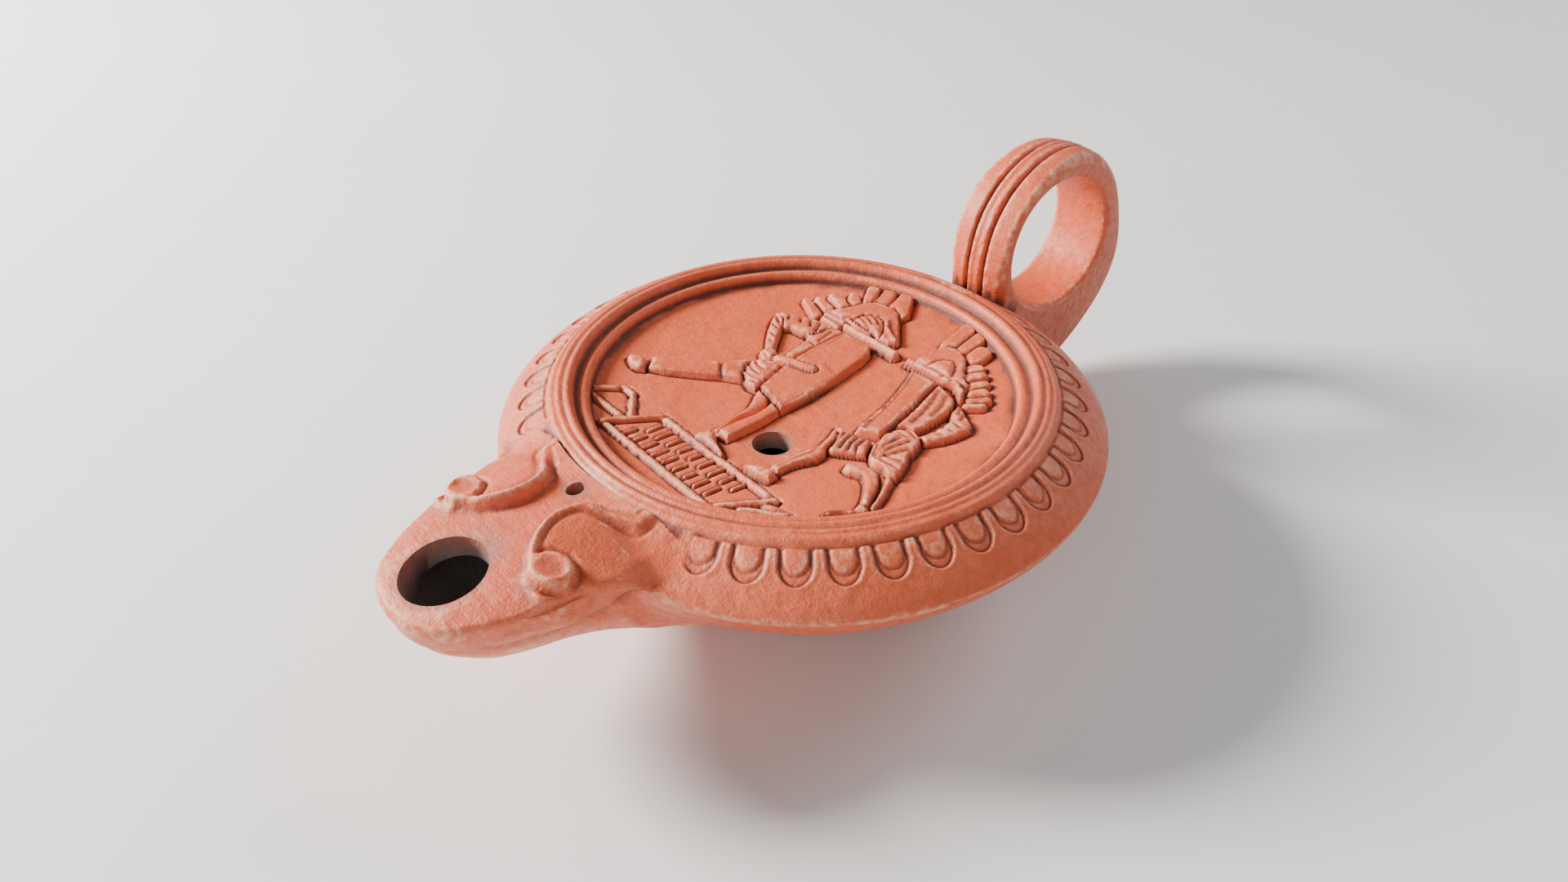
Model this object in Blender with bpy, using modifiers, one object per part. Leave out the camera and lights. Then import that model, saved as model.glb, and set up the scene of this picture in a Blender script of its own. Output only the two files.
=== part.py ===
# Fired-clay oil lamp with a relief disc, voluted nozzle and ring handle.
# Frame: +Z up, origin at the centre of the flat base, nozzle towards -Y, handle towards +Y.

import math

import bmesh
import bpy
from mathutils import Vector

# Body, in metres
BODY_RADIUS = 0.0455
WIDEST_HEIGHT = 0.0221
SHOULDER_HEIGHT = 0.0275
BORDER_RADIUS = 0.0380
BASE_RADIUS = 0.0215
BASE_GROOVE_DEPTH = 0.0006
BASE_GROOVE_WIDTH = 0.0014
WALL = 0.0030
BODY_STEPS = 58
CAVITY_STEPS = 32

# Shoulder: a straight slope under the eggs, then a round edge
SHOULDER_ROUND = 0.0025
SLOPE_DROP = 0.0031

# Rim and sunk disc: steps across the rim, as distance in from the border and height over it
RIM_STEPS = (
    (0.0000, 0.0000),
    (0.0006, 0.0008),
    (0.0014, 0.0005),
    (0.0021, 0.0011),
    (0.0028, 0.0006),
    (0.0034, 0.0013),
    (0.0041, 0.0012),
    (0.0050, -0.0003),
    (0.0058, -0.0001),
    (0.0066, -0.0018),
)
DISC_DISH = 0.0015

# Egg border on the shoulder
EGG_PITCH = 8.486
EGG_FIRST = 28.0
EGG_COUNT = 17
EGG_WIDTH = 0.0043
EGG_LENGTH = 0.0042
EGG_GROOVE = 0.0011
EGG_DEPTH = 0.0007

# Nozzle
NOZZLE_REACH = 0.0221
NOZZLE_HALF_WIDTH = 0.0132
NOZZLE_TOP_DROP = 0.0008
NOZZLE_TIP_DROP = 0.0046
NOZZLE_TIP_UNDERSIDE = 0.0166
NOZZLE_ROOT_UNDERSIDE = 0.0010
WICK_RADIUS = 0.0055
WICK_FROM_TIP = 0.0078
AIR_HOLE_RADIUS = 0.0012
AIR_HOLE_FROM_RIM = 0.0030
FILL_RADIUS = 0.0029
FILL_X = 0.0065
FILL_Y = -0.0122

# Volutes on the nozzle's shoulders
VOLUTE_LENGTH = 0.0152
VOLUTE_WIDTH = 0.0090
VOLUTE_SPREAD = 0.0072
VOLUTE_FROM_BORDER = 0.0067
VOLUTE_RISE = 0.0016
VOLUTE_TILT = 20.0
KNOB_RADIUS = 0.0031
KNOB_RISE = 0.0007
BRACKET_WIDTH = 0.0012

# Ring handle, its finger hole an ellipse seen from the side
HOLE_LONG = 0.0142
HOLE_SHORT = 0.0114
HOLE_TILT = 155.0
HANDLE_REACH = 0.0112
HANDLE_RISE = 0.0042
HANDLE_HALF_WIDTH = 0.0057
HANDLE_EDGE = 0.0020
HANDLE_GROOVE_DEPTH = 0.0007
HANDLE_GROOVE_OFFSET = 0.0025
HANDLE_STATIONS = 24
HANDLE_BAND = (0.0061, 0.0054, 0.0052, 0.0042, 0.0031, 0.0027,
               0.0036, 0.0070, 0.0171, 0.0154, 0.0120, 0.0096)

# Relief heights over the disc
LIMB_HEIGHT = 0.0008
DRESS_HEIGHT = 0.0011
SHIELD_HEIGHT = 0.0015
WEAPON_HEIGHT = 0.0020
FEATHER_HEIGHT = 0.0007
CREST_HEIGHT = 0.0011
BRIM_HEIGHT = 0.0018
FRAME_HEIGHT = 0.0008
STROKE_HEIGHT = 0.0005
RELIEF_ROOT = 0.0012
RELIEF_SLOPE = 0.00022

# Clean-up of the finished mesh: weld distance, and angles in degrees
WELD = 0.000002
FLAT_ANGLE = 0.3
SHARP_ANGLE = 35.0

# The figures are drawn on a field of this radius and scaled to the disc. The drawing is a level plane
# seen from one point, and its units are the border's radius.
FIELD = 0.83
DRAWN_FROM = (2.513, -2.445, 2.321)
DRAWN_DEPTH = -0.10

SLOPE_WIDTH = BODY_RADIUS - BORDER_RADIUS - SHOULDER_ROUND
DISC_RADIUS = BORDER_RADIUS - RIM_STEPS[-1][0]
DISC_EDGE_HEIGHT = SHOULDER_HEIGHT + RIM_STEPS[-1][1]
RIM_TOP = SHOULDER_HEIGHT + max(step[1] for step in RIM_STEPS)
NOZZLE_TIP = -(BODY_RADIUS + NOZZLE_REACH)
DRAWING_SCALE = DISC_RADIUS / FIELD


def clear_scene():
    """Remove the objects of the scene that is open."""
    for item in list(bpy.data.objects):
        bpy.data.objects.remove(item, do_unlink=True)


def make_collection(name):
    """A new collection linked to the scene."""
    collection = bpy.data.collections.new(name)
    bpy.context.scene.collection.children.link(collection)
    return collection


def make_object(name, bm, collection):
    """Turn a bmesh into an object of a collection."""
    mesh = bpy.data.meshes.new(name)
    bm.to_mesh(mesh)
    bm.free()
    item = bpy.data.objects.new(name, mesh)
    collection.objects.link(item)
    return item


def make_tool(name, bm, collection):
    """A closed helper solid that is joined to the lamp or cut from it."""
    bmesh.ops.triangulate(bm, faces=bm.faces)
    bmesh.ops.recalc_face_normals(bm, faces=bm.faces)
    item = make_object(name, bm, collection)
    item.hide_render = True
    item.display_type = "WIRE"
    return item


def turned(name, profile, steps, collection):
    """A turned solid: a profile of (radius, height) points, top to bottom, and a Screw modifier."""
    bm = bmesh.new()
    verts = [bm.verts.new((radius, 0.0, height)) for radius, height in profile]
    for upper, lower in zip(verts, verts[1:]):
        bm.edges.new((upper, lower))
    item = make_object(name, bm, collection)
    screw = item.modifiers.new("turn", "SCREW")
    screw.axis = "Z"
    screw.angle = math.tau
    screw.steps = steps
    screw.render_steps = steps
    screw.use_merge_vertices = True
    screw.merge_threshold = 0.00001
    return item


def loft(sections, closed=False):
    """Skin a list of sections with as many points each; an open skin gets two caps."""
    bm = bmesh.new()
    rings = [[bm.verts.new(point) for point in section] for section in sections]
    pairs = list(zip(rings, rings[1:]))
    if closed:
        pairs.append((rings[-1], rings[0]))
    for near, far in pairs:
        for j in range(len(near)):
            k = (j + 1) % len(near)
            bm.faces.new((near[j], near[k], far[k], far[j]))
    if not closed:
        bm.faces.new(rings[0])
        bm.faces.new(rings[-1])
    return bm


def ease(low, high, value):
    """Smooth step from 0 at low to 1 at high."""
    share = min(max((value - low) / (high - low), 0.0), 1.0)
    return share * share * (3.0 - 2.0 * share)


def shoulder_height(radius):
    """Height of the plain shoulder at a distance from the axis."""
    out = radius - BORDER_RADIUS
    if out < SLOPE_WIDTH:
        return SHOULDER_HEIGHT - SLOPE_DROP * out / SLOPE_WIDTH
    share = min((out - SLOPE_WIDTH) / SHOULDER_ROUND, 1.0)
    return WIDEST_HEIGHT + (SHOULDER_HEIGHT - SLOPE_DROP - WIDEST_HEIGHT) * math.sqrt(1.0 - share * share)


def underside_radius(share):
    """Radius of the bowl under the shoulder, share 0 at the base and 1 at the widest ring."""
    return BASE_RADIUS + (BODY_RADIUS - BASE_RADIUS) * (1.0 - (1.0 - share) ** 1.4)


def disc_height(radius):
    """Height of the dished disc at a distance from the axis."""
    share = min(radius / DISC_RADIUS, 1.0)
    return DISC_EDGE_HEIGHT - DISC_DISH * (1.0 - share * share)


def body_profile():
    """Outer side of the body from the middle of the disc over rim and shoulder to the base."""
    profile = [(DISC_RADIUS * share, disc_height(DISC_RADIUS * share)) for share in (0.0, 0.5)]
    for inset, rise in reversed(RIM_STEPS):
        profile.append((BORDER_RADIUS - inset, SHOULDER_HEIGHT + rise))
    for share in (0.0, 0.55, 0.88):
        radius = BORDER_RADIUS + SLOPE_WIDTH + SHOULDER_ROUND * share
        profile.append((radius, shoulder_height(radius)))
    for share in (1.0, 0.82, 0.58, 0.33, 0.12, 0.0):
        profile.append((underside_radius(share), WIDEST_HEIGHT * share))
    groove = BASE_RADIUS - BASE_GROOVE_WIDTH
    profile.append((groove, 0.0))
    profile.append((groove - 0.5 * BASE_GROOVE_WIDTH, BASE_GROOVE_DEPTH))
    profile.append((groove - BASE_GROOVE_WIDTH, 0.0))
    profile.append((0.0, 0.0))
    return profile


def cavity_profile():
    """Oil chamber, a wall's thickness inside the body."""
    slope = math.atan2(SLOPE_DROP, SLOPE_WIDTH)
    middle = BORDER_RADIUS + 0.5 * SLOPE_WIDTH
    profile = [(0.0, disc_height(0.0) - WALL), (DISC_RADIUS, DISC_EDGE_HEIGHT - WALL)]
    profile.append((middle - WALL * math.sin(slope), shoulder_height(middle) - WALL * math.cos(slope)))
    profile.append((BODY_RADIUS - WALL, WIDEST_HEIGHT))
    for share in (0.8, 0.55, 0.3):
        profile.append((underside_radius(share) - WALL, WIDEST_HEIGHT * share + 0.3 * WALL))
    profile.append((BASE_RADIUS - WALL, WALL))
    profile.append((0.0, WALL))
    return profile


def nozzle_half_width(y):
    """Half width of the nozzle, flaring into the body and rounded at the tip."""
    from_tip = y - NOZZLE_TIP
    round_part = min(from_tip / NOZZLE_HALF_WIDTH, 1.0)
    tip = math.sqrt(max(1.0 - (1.0 - round_part) ** 2, 0.0))
    flare = 1.0 + 0.55 * ease(0.6 * NOZZLE_REACH, 1.9 * NOZZLE_REACH, from_tip)
    return NOZZLE_HALF_WIDTH * tip * flare


def nozzle_top(y):
    """Height of the nozzle's flat top, falling a little to the tip."""
    share = ease(NOZZLE_TIP, -BORDER_RADIUS, y)
    under_rim = ease(0.003 - BORDER_RADIUS, 0.007 - BORDER_RADIUS, y)
    return SHOULDER_HEIGHT + NOZZLE_TOP_DROP * (2.0 * share - 1.0) - 2.0 * WALL * under_rim


def nozzle_underside(y):
    """Height of the nozzle's keel, rising from the bowl to the tip."""
    share = min(max((y - NOZZLE_TIP) / (NOZZLE_REACH + BODY_RADIUS - BASE_RADIUS), 0.0), 1.0)
    return NOZZLE_TIP_UNDERSIDE + (NOZZLE_ROOT_UNDERSIDE - NOZZLE_TIP_UNDERSIDE) * share


def nozzle_section(y, inset):
    """One upright section of the nozzle: nearly flat on top, round below."""
    from_tip = y - NOZZLE_TIP
    half = max(nozzle_half_width(y) - inset, 0.0004)
    nose = 1.0 - min(from_tip / (0.45 * NOZZLE_HALF_WIDTH), 1.0)
    waist = nozzle_top(y) - NOZZLE_TIP_DROP * 0.72
    top = nozzle_top(y) - NOZZLE_TIP_DROP * 0.66 * nose * nose - inset
    bottom = nozzle_underside(y) + (waist - nozzle_underside(y)) * nose * nose + inset
    waist = min(max(waist, bottom + 0.0002), top - 0.0002)
    section = []
    for angle in (0, 30, 60, 120, 150, 180, 208, 236, 270, 304, 332):
        turn = math.radians(angle)
        side = math.cos(turn)
        lift = math.sin(turn)
        if lift > 0.0:
            x = half * math.copysign(abs(side) ** 0.45, side)
            z = waist + (top - waist) * lift ** 0.45
        else:
            x = half * side
            z = waist - (waist - bottom) * (-lift) ** 0.9
        section.append((x, y, z))
    return section


def nozzle_solid(inset, root):
    """Nozzle loft from its tip to a section inside the body; an inset gives the flame channel."""
    start = NOZZLE_TIP + inset
    stations = []
    for share in (0.004, 0.03, 0.08, 0.16, 0.27, 0.42, 0.6, 0.8, 1.0):
        stations.append(start + NOZZLE_REACH * share)
    stations.append(0.003 - BORDER_RADIUS)
    stations.append(0.007 - BORDER_RADIUS)
    stations.append(root)
    return loft([nozzle_section(y, inset) for y in stations])


def cylinder(radius, low, high, x, y, segments=20):
    """Upright cylinder between two heights."""
    bm = bmesh.new()
    bmesh.ops.create_cone(bm, cap_ends=True, segments=segments, radius1=radius,
                          radius2=radius, depth=high - low)
    bmesh.ops.translate(bm, verts=bm.verts, vec=(x, y, 0.5 * (low + high)))
    return bm


def egg_groove(angle):
    """Sunk outline of one egg: a bow whose straight side lies along the rim."""
    outline = [(-0.5, 0.04), (-0.5, 0.55), (-0.26, 0.95), (0.26, 0.95), (0.5, 0.55), (0.5, 0.04)]
    turn = math.radians(angle)
    outward = Vector((math.sin(turn), -math.cos(turn)))
    along = Vector((math.cos(turn), math.sin(turn)))
    middle = BORDER_RADIUS + 0.45 * EGG_LENGTH
    centre = outward * middle
    sections = []
    for across, out in outline:
        point = outward * (BORDER_RADIUS + EGG_LENGTH * out) + along * (EGG_WIDTH * across)
        inward = (centre - point).normalized()
        inner = point + inward * EGG_GROOVE
        floor = point + inward * (0.5 * EGG_GROOVE)
        section = []
        for spot, depth in ((point, 0.0), (inner, 0.0), (floor, EGG_DEPTH)):
            height = shoulder_height(spot.length)
            lift = EGG_GROOVE if depth == 0.0 else -depth
            section.append((spot.x, spot.y, height + lift))
        sections.append(section)
    return loft(sections, closed=True)


def handle_hole_radius(turn):
    """Distance from the middle of the finger hole to its edge."""
    local = turn - math.radians(HOLE_TILT)
    return HOLE_LONG * HOLE_SHORT / math.hypot(HOLE_SHORT * math.cos(local), HOLE_LONG * math.sin(local))


def handle_band(turn):
    """Thickness of the ring at a direction, eased between the named directions."""
    position = (turn / math.tau) * len(HANDLE_BAND)
    first = int(math.floor(position)) % len(HANDLE_BAND)
    share = position - math.floor(position)
    before = HANDLE_BAND[first - 1]
    here = HANDLE_BAND[first]
    after = HANDLE_BAND[(first + 1) % len(HANDLE_BAND)]
    beyond = HANDLE_BAND[(first + 2) % len(HANDLE_BAND)]
    slope_here = 0.5 * (after - before)
    slope_after = 0.5 * (beyond - here)
    cube = share ** 3
    square = share ** 2
    value = here * (2 * cube - 3 * square + 1) + slope_here * (cube - 2 * square + share)
    return value + after * (3 * square - 2 * cube) + slope_after * (cube - square)


def handle_solid():
    """Ring handle: one ribbed section carried round the finger hole."""
    middle = Vector((0.0, BODY_RADIUS + HANDLE_REACH, SHOULDER_HEIGHT + HANDLE_RISE))
    half = HANDLE_HALF_WIDTH
    groove = HANDLE_GROOVE_OFFSET
    dip = HANDLE_GROOVE_DEPTH
    sections = []
    for index in range(HANDLE_STATIONS):
        turn = math.tau * index / HANDLE_STATIONS
        way = Vector((0.0, math.cos(turn), math.sin(turn)))
        inner = handle_hole_radius(turn)
        band = handle_band(turn)
        outer = inner + band
        edge = min(HANDLE_EDGE, 0.4 * band)
        outline = [(-half + edge, inner), (-half, inner + edge), (-half, outer - edge),
                   (-half + 0.7 * edge, outer - 0.2 * edge), (-groove, outer), (-groove + dip, outer - dip),
                   (-groove + 2 * dip, outer), (groove - 2 * dip, outer), (groove - dip, outer - dip),
                   (groove, outer), (half - 0.7 * edge, outer - 0.2 * edge), (half, outer - edge),
                   (half, inner + edge), (half - edge, inner)]
        sections.append([middle + way * radius + Vector((x, 0.0, 0.0)) for x, radius in outline])
    return loft(sections, closed=True)


def volute_disc(side):
    """Raised pad of one volute, its high edge along the nozzle's channel."""
    bm = cylinder(0.5, -WALL, 0.5 * VOLUTE_RISE, 0.0, 0.0, 20)
    bmesh.ops.scale(bm, verts=bm.verts, vec=(VOLUTE_WIDTH, VOLUTE_LENGTH, 1.0))
    slope = math.tan(math.radians(VOLUTE_TILT))
    for vert in bm.verts:
        vert.co.z -= vert.co.x * slope
    for vert in bm.verts:
        vert.co.x = side * (vert.co.x + VOLUTE_SPREAD)
        vert.co.y -= BORDER_RADIUS + VOLUTE_FROM_BORDER
        vert.co.z += nozzle_top(vert.co.y)
    return bm


def knob(side):
    """Round eye at the end of a volute."""
    bm = bmesh.new()
    bmesh.ops.create_uvsphere(bm, u_segments=10, v_segments=6, radius=KNOB_RADIUS)
    y = -(BORDER_RADIUS + VOLUTE_FROM_BORDER + 0.42 * VOLUTE_LENGTH)
    x = VOLUTE_SPREAD + 0.25 * VOLUTE_WIDTH
    bmesh.ops.scale(bm, verts=bm.verts, vec=(1.0, 1.0, 0.6))
    bmesh.ops.translate(bm, verts=bm.verts, vec=(side * x, y, nozzle_top(y) + KNOB_RISE - 0.25 * KNOB_RADIUS))
    return bm


def bracket(side):
    """Angular strip between the rim and a volute, beside the air hole."""
    border = BORDER_RADIUS
    start = Vector((side * 0.265 * border, -0.962 * border))
    bend = Vector((side * 0.27 * border, -1.005 * border))
    end = Vector((side * 0.11 * border, -1.09 * border))
    outlines = [capsule(start, bend, 0.5 * BRACKET_WIDTH, 0.5 * BRACKET_WIDTH, 2),
                capsule(bend, end, 0.5 * BRACKET_WIDTH, 0.5 * BRACKET_WIDTH, 2)]
    tools = []
    for outline in outlines:
        low = [(x, y, SHOULDER_HEIGHT - 0.0035) for x, y in outline]
        high = [(x, y, SHOULDER_HEIGHT + 0.0013) for x, y in outline]
        tools.append(loft([low, high]))
    return tools


def capsule(start, end, start_half, end_half, points=3):
    """Outline of a tapered bar with round ends."""
    start = Vector(start)
    end = Vector(end)
    way = (end - start).normalized()
    heading = math.atan2(way.y, way.x)
    outline = []
    for centre, half, first in ((end, end_half, -90.0), (start, start_half, 90.0)):
        for index in range(points):
            turn = heading + math.radians(first + 180.0 * index / (points - 1))
            outline.append(centre + Vector((math.cos(turn), math.sin(turn))) * half)
    return outline


def shrink(outline, amount):
    """Move each point of an outline towards the inside by about an amount."""
    points = [Vector(point) for point in outline]
    moved = []
    for index, point in enumerate(points):
        before = (point - points[index - 1]).normalized()
        after = (points[(index + 1) % len(points)] - point).normalized()
        inward = Vector((-(before.y + after.y), before.x + after.x))
        moved.append(point + inward.normalized() * amount if inward.length > 0.0001 else point)
    return moved


def placed(point, height):
    """Where a drawn point stands on the lamp when its pad has this height over the disc."""
    point = Vector(point)
    level = (disc_height(point.length * DRAWING_SCALE) + height - SHOULDER_HEIGHT) / DRAWING_SCALE
    share = (DRAWN_FROM[2] - level) / (DRAWN_FROM[2] - DRAWN_DEPTH)
    viewpoint = Vector(DRAWN_FROM[:2])
    return (viewpoint + (point - viewpoint) * share) * DRAWING_SCALE


def relief(outline, height):
    """Pad of a relief: an outline in the drawing's units, raised over the dished disc."""
    points = [placed(point, height) for point in outline]
    low = [(p.x, p.y, disc_height(p.length) - RELIEF_ROOT) for p in points]
    high = [(p.x, p.y, disc_height(p.length) + height) for p in shrink(points, RELIEF_SLOPE)]
    return loft([low, high])


def helmet_feathers(roots, tips, half):
    """A fan of feathers from points on the crest to their tips."""
    pads = []
    for index, (root, tip) in enumerate(zip(roots, tips)):
        height = FEATHER_HEIGHT * (1.0 if index % 2 else 1.25)
        pads.append((capsule(root, tip, 0.6 * half, half), height))
    return pads


def left_fighter():
    """Fighter advancing to the right behind a tall shield, short sword drawn back."""
    pads = [
        (capsule((-0.27, 0.43), (-0.52, 0.38), 0.055, 0.050), LIMB_HEIGHT * 1.2),
        (capsule((-0.52, 0.38), (-0.34, 0.13), 0.042, 0.036), LIMB_HEIGHT),
        (capsule((-0.34, 0.125), (-0.31, 0.125), 0.045, 0.045), WEAPON_HEIGHT * 0.8),
        (capsule((-0.29, 0.130), (-0.13, 0.180), 0.020, 0.030), WEAPON_HEIGHT),
        ([(-0.33, 0.47), (-0.34, 0.36), (-0.29, 0.18), (-0.32, 0.05), (-0.2, 0.05), (-0.2, 0.47)],
         DRESS_HEIGHT),
        ([(-0.35, 0.07), (-0.36, -0.01), (-0.28, -0.11), (-0.18, -0.12), (-0.17, 0.08)], DRESS_HEIGHT * 1.15),
        (capsule((-0.31, -0.03), (-0.43, -0.12), 0.075, 0.062), LIMB_HEIGHT * 1.2),
        (capsule((-0.40, -0.11), (-0.61, -0.27), 0.062, 0.042), LIMB_HEIGHT),
        (capsule((-0.62, -0.285), (-0.70, -0.320), 0.032, 0.024), LIMB_HEIGHT * 1.2),
        (capsule((-0.17, -0.08), (-0.075, -0.21), 0.060, 0.045), LIMB_HEIGHT * 1.2),
        (capsule((-0.070, -0.20), (-0.060, -0.41), 0.040, 0.030), LIMB_HEIGHT),
        (capsule((-0.020, -0.14), (-0.020, -0.37), 0.034, 0.030), LIMB_HEIGHT * 1.1),
        ([(-0.11, -0.47), (0.07, -0.475), (0.05, -0.455), (-0.03, -0.40), (-0.09, -0.41)], LIMB_HEIGHT * 1.2),
        ([(-0.23, 0.47), (-0.235, 0.22), (-0.18, -0.08), (0.012, -0.13), (0.015, 0.12), (-0.03, 0.38),
          (-0.065, 0.475)], SHIELD_HEIGHT),
        (capsule((-0.40, 0.50), (-0.28, 0.49), 0.022, 0.022), DRESS_HEIGHT),
        ([(-0.38, 0.54), (-0.37, 0.64), (-0.30, 0.75), (-0.22, 0.79), (-0.14, 0.76), (-0.08, 0.68),
          (-0.03, 0.57), (-0.03, 0.54)], CREST_HEIGHT),
        ([(-0.29, 0.54), (-0.28, 0.63), (-0.22, 0.68), (-0.15, 0.65), (-0.10, 0.56), (-0.10, 0.54)],
         CREST_HEIGHT * 1.4),
        (capsule((-0.33, 0.540), (0.02, 0.520), 0.024, 0.024), BRIM_HEIGHT),
    ]
    roots = [(-0.150, 0.74), (-0.250, 0.77), (-0.330, 0.74), (-0.370, 0.68), (-0.390, 0.62),
             (-0.400, 0.57), (-0.410, 0.52)]
    tips = [(-0.255, 0.92), (-0.345, 0.90), (-0.400, 0.84), (-0.430, 0.745), (-0.485, 0.68),
            (-0.510, 0.60), (-0.540, 0.54)]
    return pads + helmet_feathers(roots, tips, 0.034)


def right_fighter():
    """Fighter facing left, shield before the breast and arm bent back."""
    pads = [
        (capsule((0.45, 0.41), (0.56, 0.34), 0.045, 0.042), LIMB_HEIGHT),
        (capsule((0.565, 0.33), (0.53, 0.14), 0.040, 0.034), LIMB_HEIGHT * 1.15),
        ([(0.31, 0.47), (0.33, 0.30), (0.38, 0.08), (0.51, 0.12), (0.49, 0.24), (0.46, 0.44), (0.40, 0.47)],
         DRESS_HEIGHT),
        ([(0.39, 0.13), (0.40, 0.00), (0.46, -0.11), (0.60, -0.14), (0.56, 0.02), (0.54, 0.10), (0.50, 0.15)],
         DRESS_HEIGHT * 1.2),
        ([(0.22, -0.03), (0.28, -0.14), (0.34, -0.17), (0.47, -0.10), (0.42, 0.02), (0.31, -0.02)],
         DRESS_HEIGHT),
        (capsule((0.262, -0.08), (0.290, -0.25), 0.035, 0.045), LIMB_HEIGHT),
        (capsule((0.290, -0.25), (0.260, -0.40), 0.043, 0.026), LIMB_HEIGHT * 1.1),
        ([(0.15, -0.468), (0.29, -0.452), (0.29, -0.40), (0.24, -0.395)], LIMB_HEIGHT * 1.25),
        (capsule((0.54, -0.08), (0.61, -0.20), 0.062, 0.050), LIMB_HEIGHT * 1.15),
        (capsule((0.455, -0.180), (0.53, -0.155), 0.035, 0.045), LIMB_HEIGHT),
        (capsule((0.53, -0.155), (0.63, -0.30), 0.045, 0.036), LIMB_HEIGHT * 1.3),
        (capsule((0.635, -0.32), (0.58, -0.42), 0.028, 0.018), LIMB_HEIGHT),
        ([(0.17, 0.47), (0.24, 0.20), (0.30, 0.00), (0.385, 0.04), (0.34, 0.30), (0.31, 0.465)],
         SHIELD_HEIGHT),
        ([(0.12, 0.54), (0.13, 0.66), (0.15, 0.72), (0.24, 0.73), (0.31, 0.68), (0.42, 0.54), (0.40, 0.50)],
         CREST_HEIGHT),
        ([(0.18, 0.54), (0.19, 0.61), (0.235, 0.64), (0.28, 0.61), (0.30, 0.54)], CREST_HEIGHT * 1.4),
        (capsule((0.12, 0.522), (0.31, 0.525), 0.024, 0.024), BRIM_HEIGHT),
        (capsule((0.31, 0.525), (0.44, 0.445), 0.024, 0.022), BRIM_HEIGHT * 0.95),
    ]
    roots = [(0.155, 0.72), (0.225, 0.715), (0.285, 0.69), (0.335, 0.63), (0.375, 0.575),
             (0.41, 0.53), (0.435, 0.49), (0.46, 0.45)]
    tips = [(0.125, 0.89), (0.195, 0.86), (0.283, 0.78), (0.350, 0.68), (0.405, 0.64),
            (0.445, 0.60), (0.480, 0.56), (0.510, 0.52)]
    return pads + helmet_feathers(roots, tips, 0.031)


def tablet():
    """Framed tablet under the fighters, with a triangular handle at each end and two rows of strokes."""
    corners = [(-0.285, -0.495), (0.390, -0.510), (0.270, -0.690), (-0.410, -0.665)]
    left_grip = [(-0.35, -0.59), (-0.50, -0.49), (-0.64, -0.58), (-0.38, -0.62)]
    right_grip = [(0.37, -0.55), (0.49, -0.53), (0.33, -0.63)]
    bars = list(zip(corners, corners[1:] + corners[:1]))
    bars += list(zip(left_grip, left_grip[1:]))
    bars += list(zip(right_grip, right_grip[1:]))
    pads = [(capsule(start, end, 0.015, 0.015, 2), FRAME_HEIGHT) for start, end in bars]
    for row, first in enumerate((-0.24, -0.30)):
        middle = -0.560 - 0.070 * row
        for index in range(7):
            x = first + 0.085 * index
            lean = 0.014 if (index + row) % 3 else -0.018
            pads.append((capsule((x - lean, middle - 0.022), (x + lean, middle + 0.022), 0.008, 0.008, 2),
                         STROKE_HEIGHT))
    return pads


def clay():
    """Fired clay, salmon with a dull surface."""
    material = bpy.data.materials.new("terracotta")
    material.use_nodes = True
    shader = material.node_tree.nodes["Principled BSDF"]
    shader.inputs["Base Color"].default_value = (0.72, 0.30, 0.18, 1.0)
    shader.inputs["Roughness"].default_value = 0.62
    shader.inputs["Metallic"].default_value = 0.0
    return material


def settle(item):
    """Apply the modifiers of an object, weld what touches and shade its round faces smooth."""
    graph = bpy.context.evaluated_depsgraph_get()
    mesh = bpy.data.meshes.new_from_object(item.evaluated_get(graph))
    item.modifiers.clear()
    item.data = mesh
    bm = bmesh.new()
    bm.from_mesh(mesh)
    bmesh.ops.remove_doubles(bm, verts=bm.verts, dist=WELD)
    bmesh.ops.dissolve_degenerate(bm, edges=bm.edges, dist=WELD)
    bmesh.ops.dissolve_limit(bm, angle_limit=math.radians(FLAT_ANGLE), verts=bm.verts, edges=bm.edges)
    bmesh.ops.triangulate(bm, faces=bm.faces)
    bm.to_mesh(mesh)
    bm.free()
    mesh.shade_smooth()
    mesh.set_sharp_from_angle(angle=math.radians(SHARP_ANGLE))


def combine(item, collection, operation, name):
    """Boolean of an object with all solids of a collection."""
    modifier = item.modifiers.new(name, "BOOLEAN")
    modifier.operand_type = "COLLECTION"
    modifier.collection = collection
    modifier.operation = operation
    modifier.solver = "EXACT"


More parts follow.
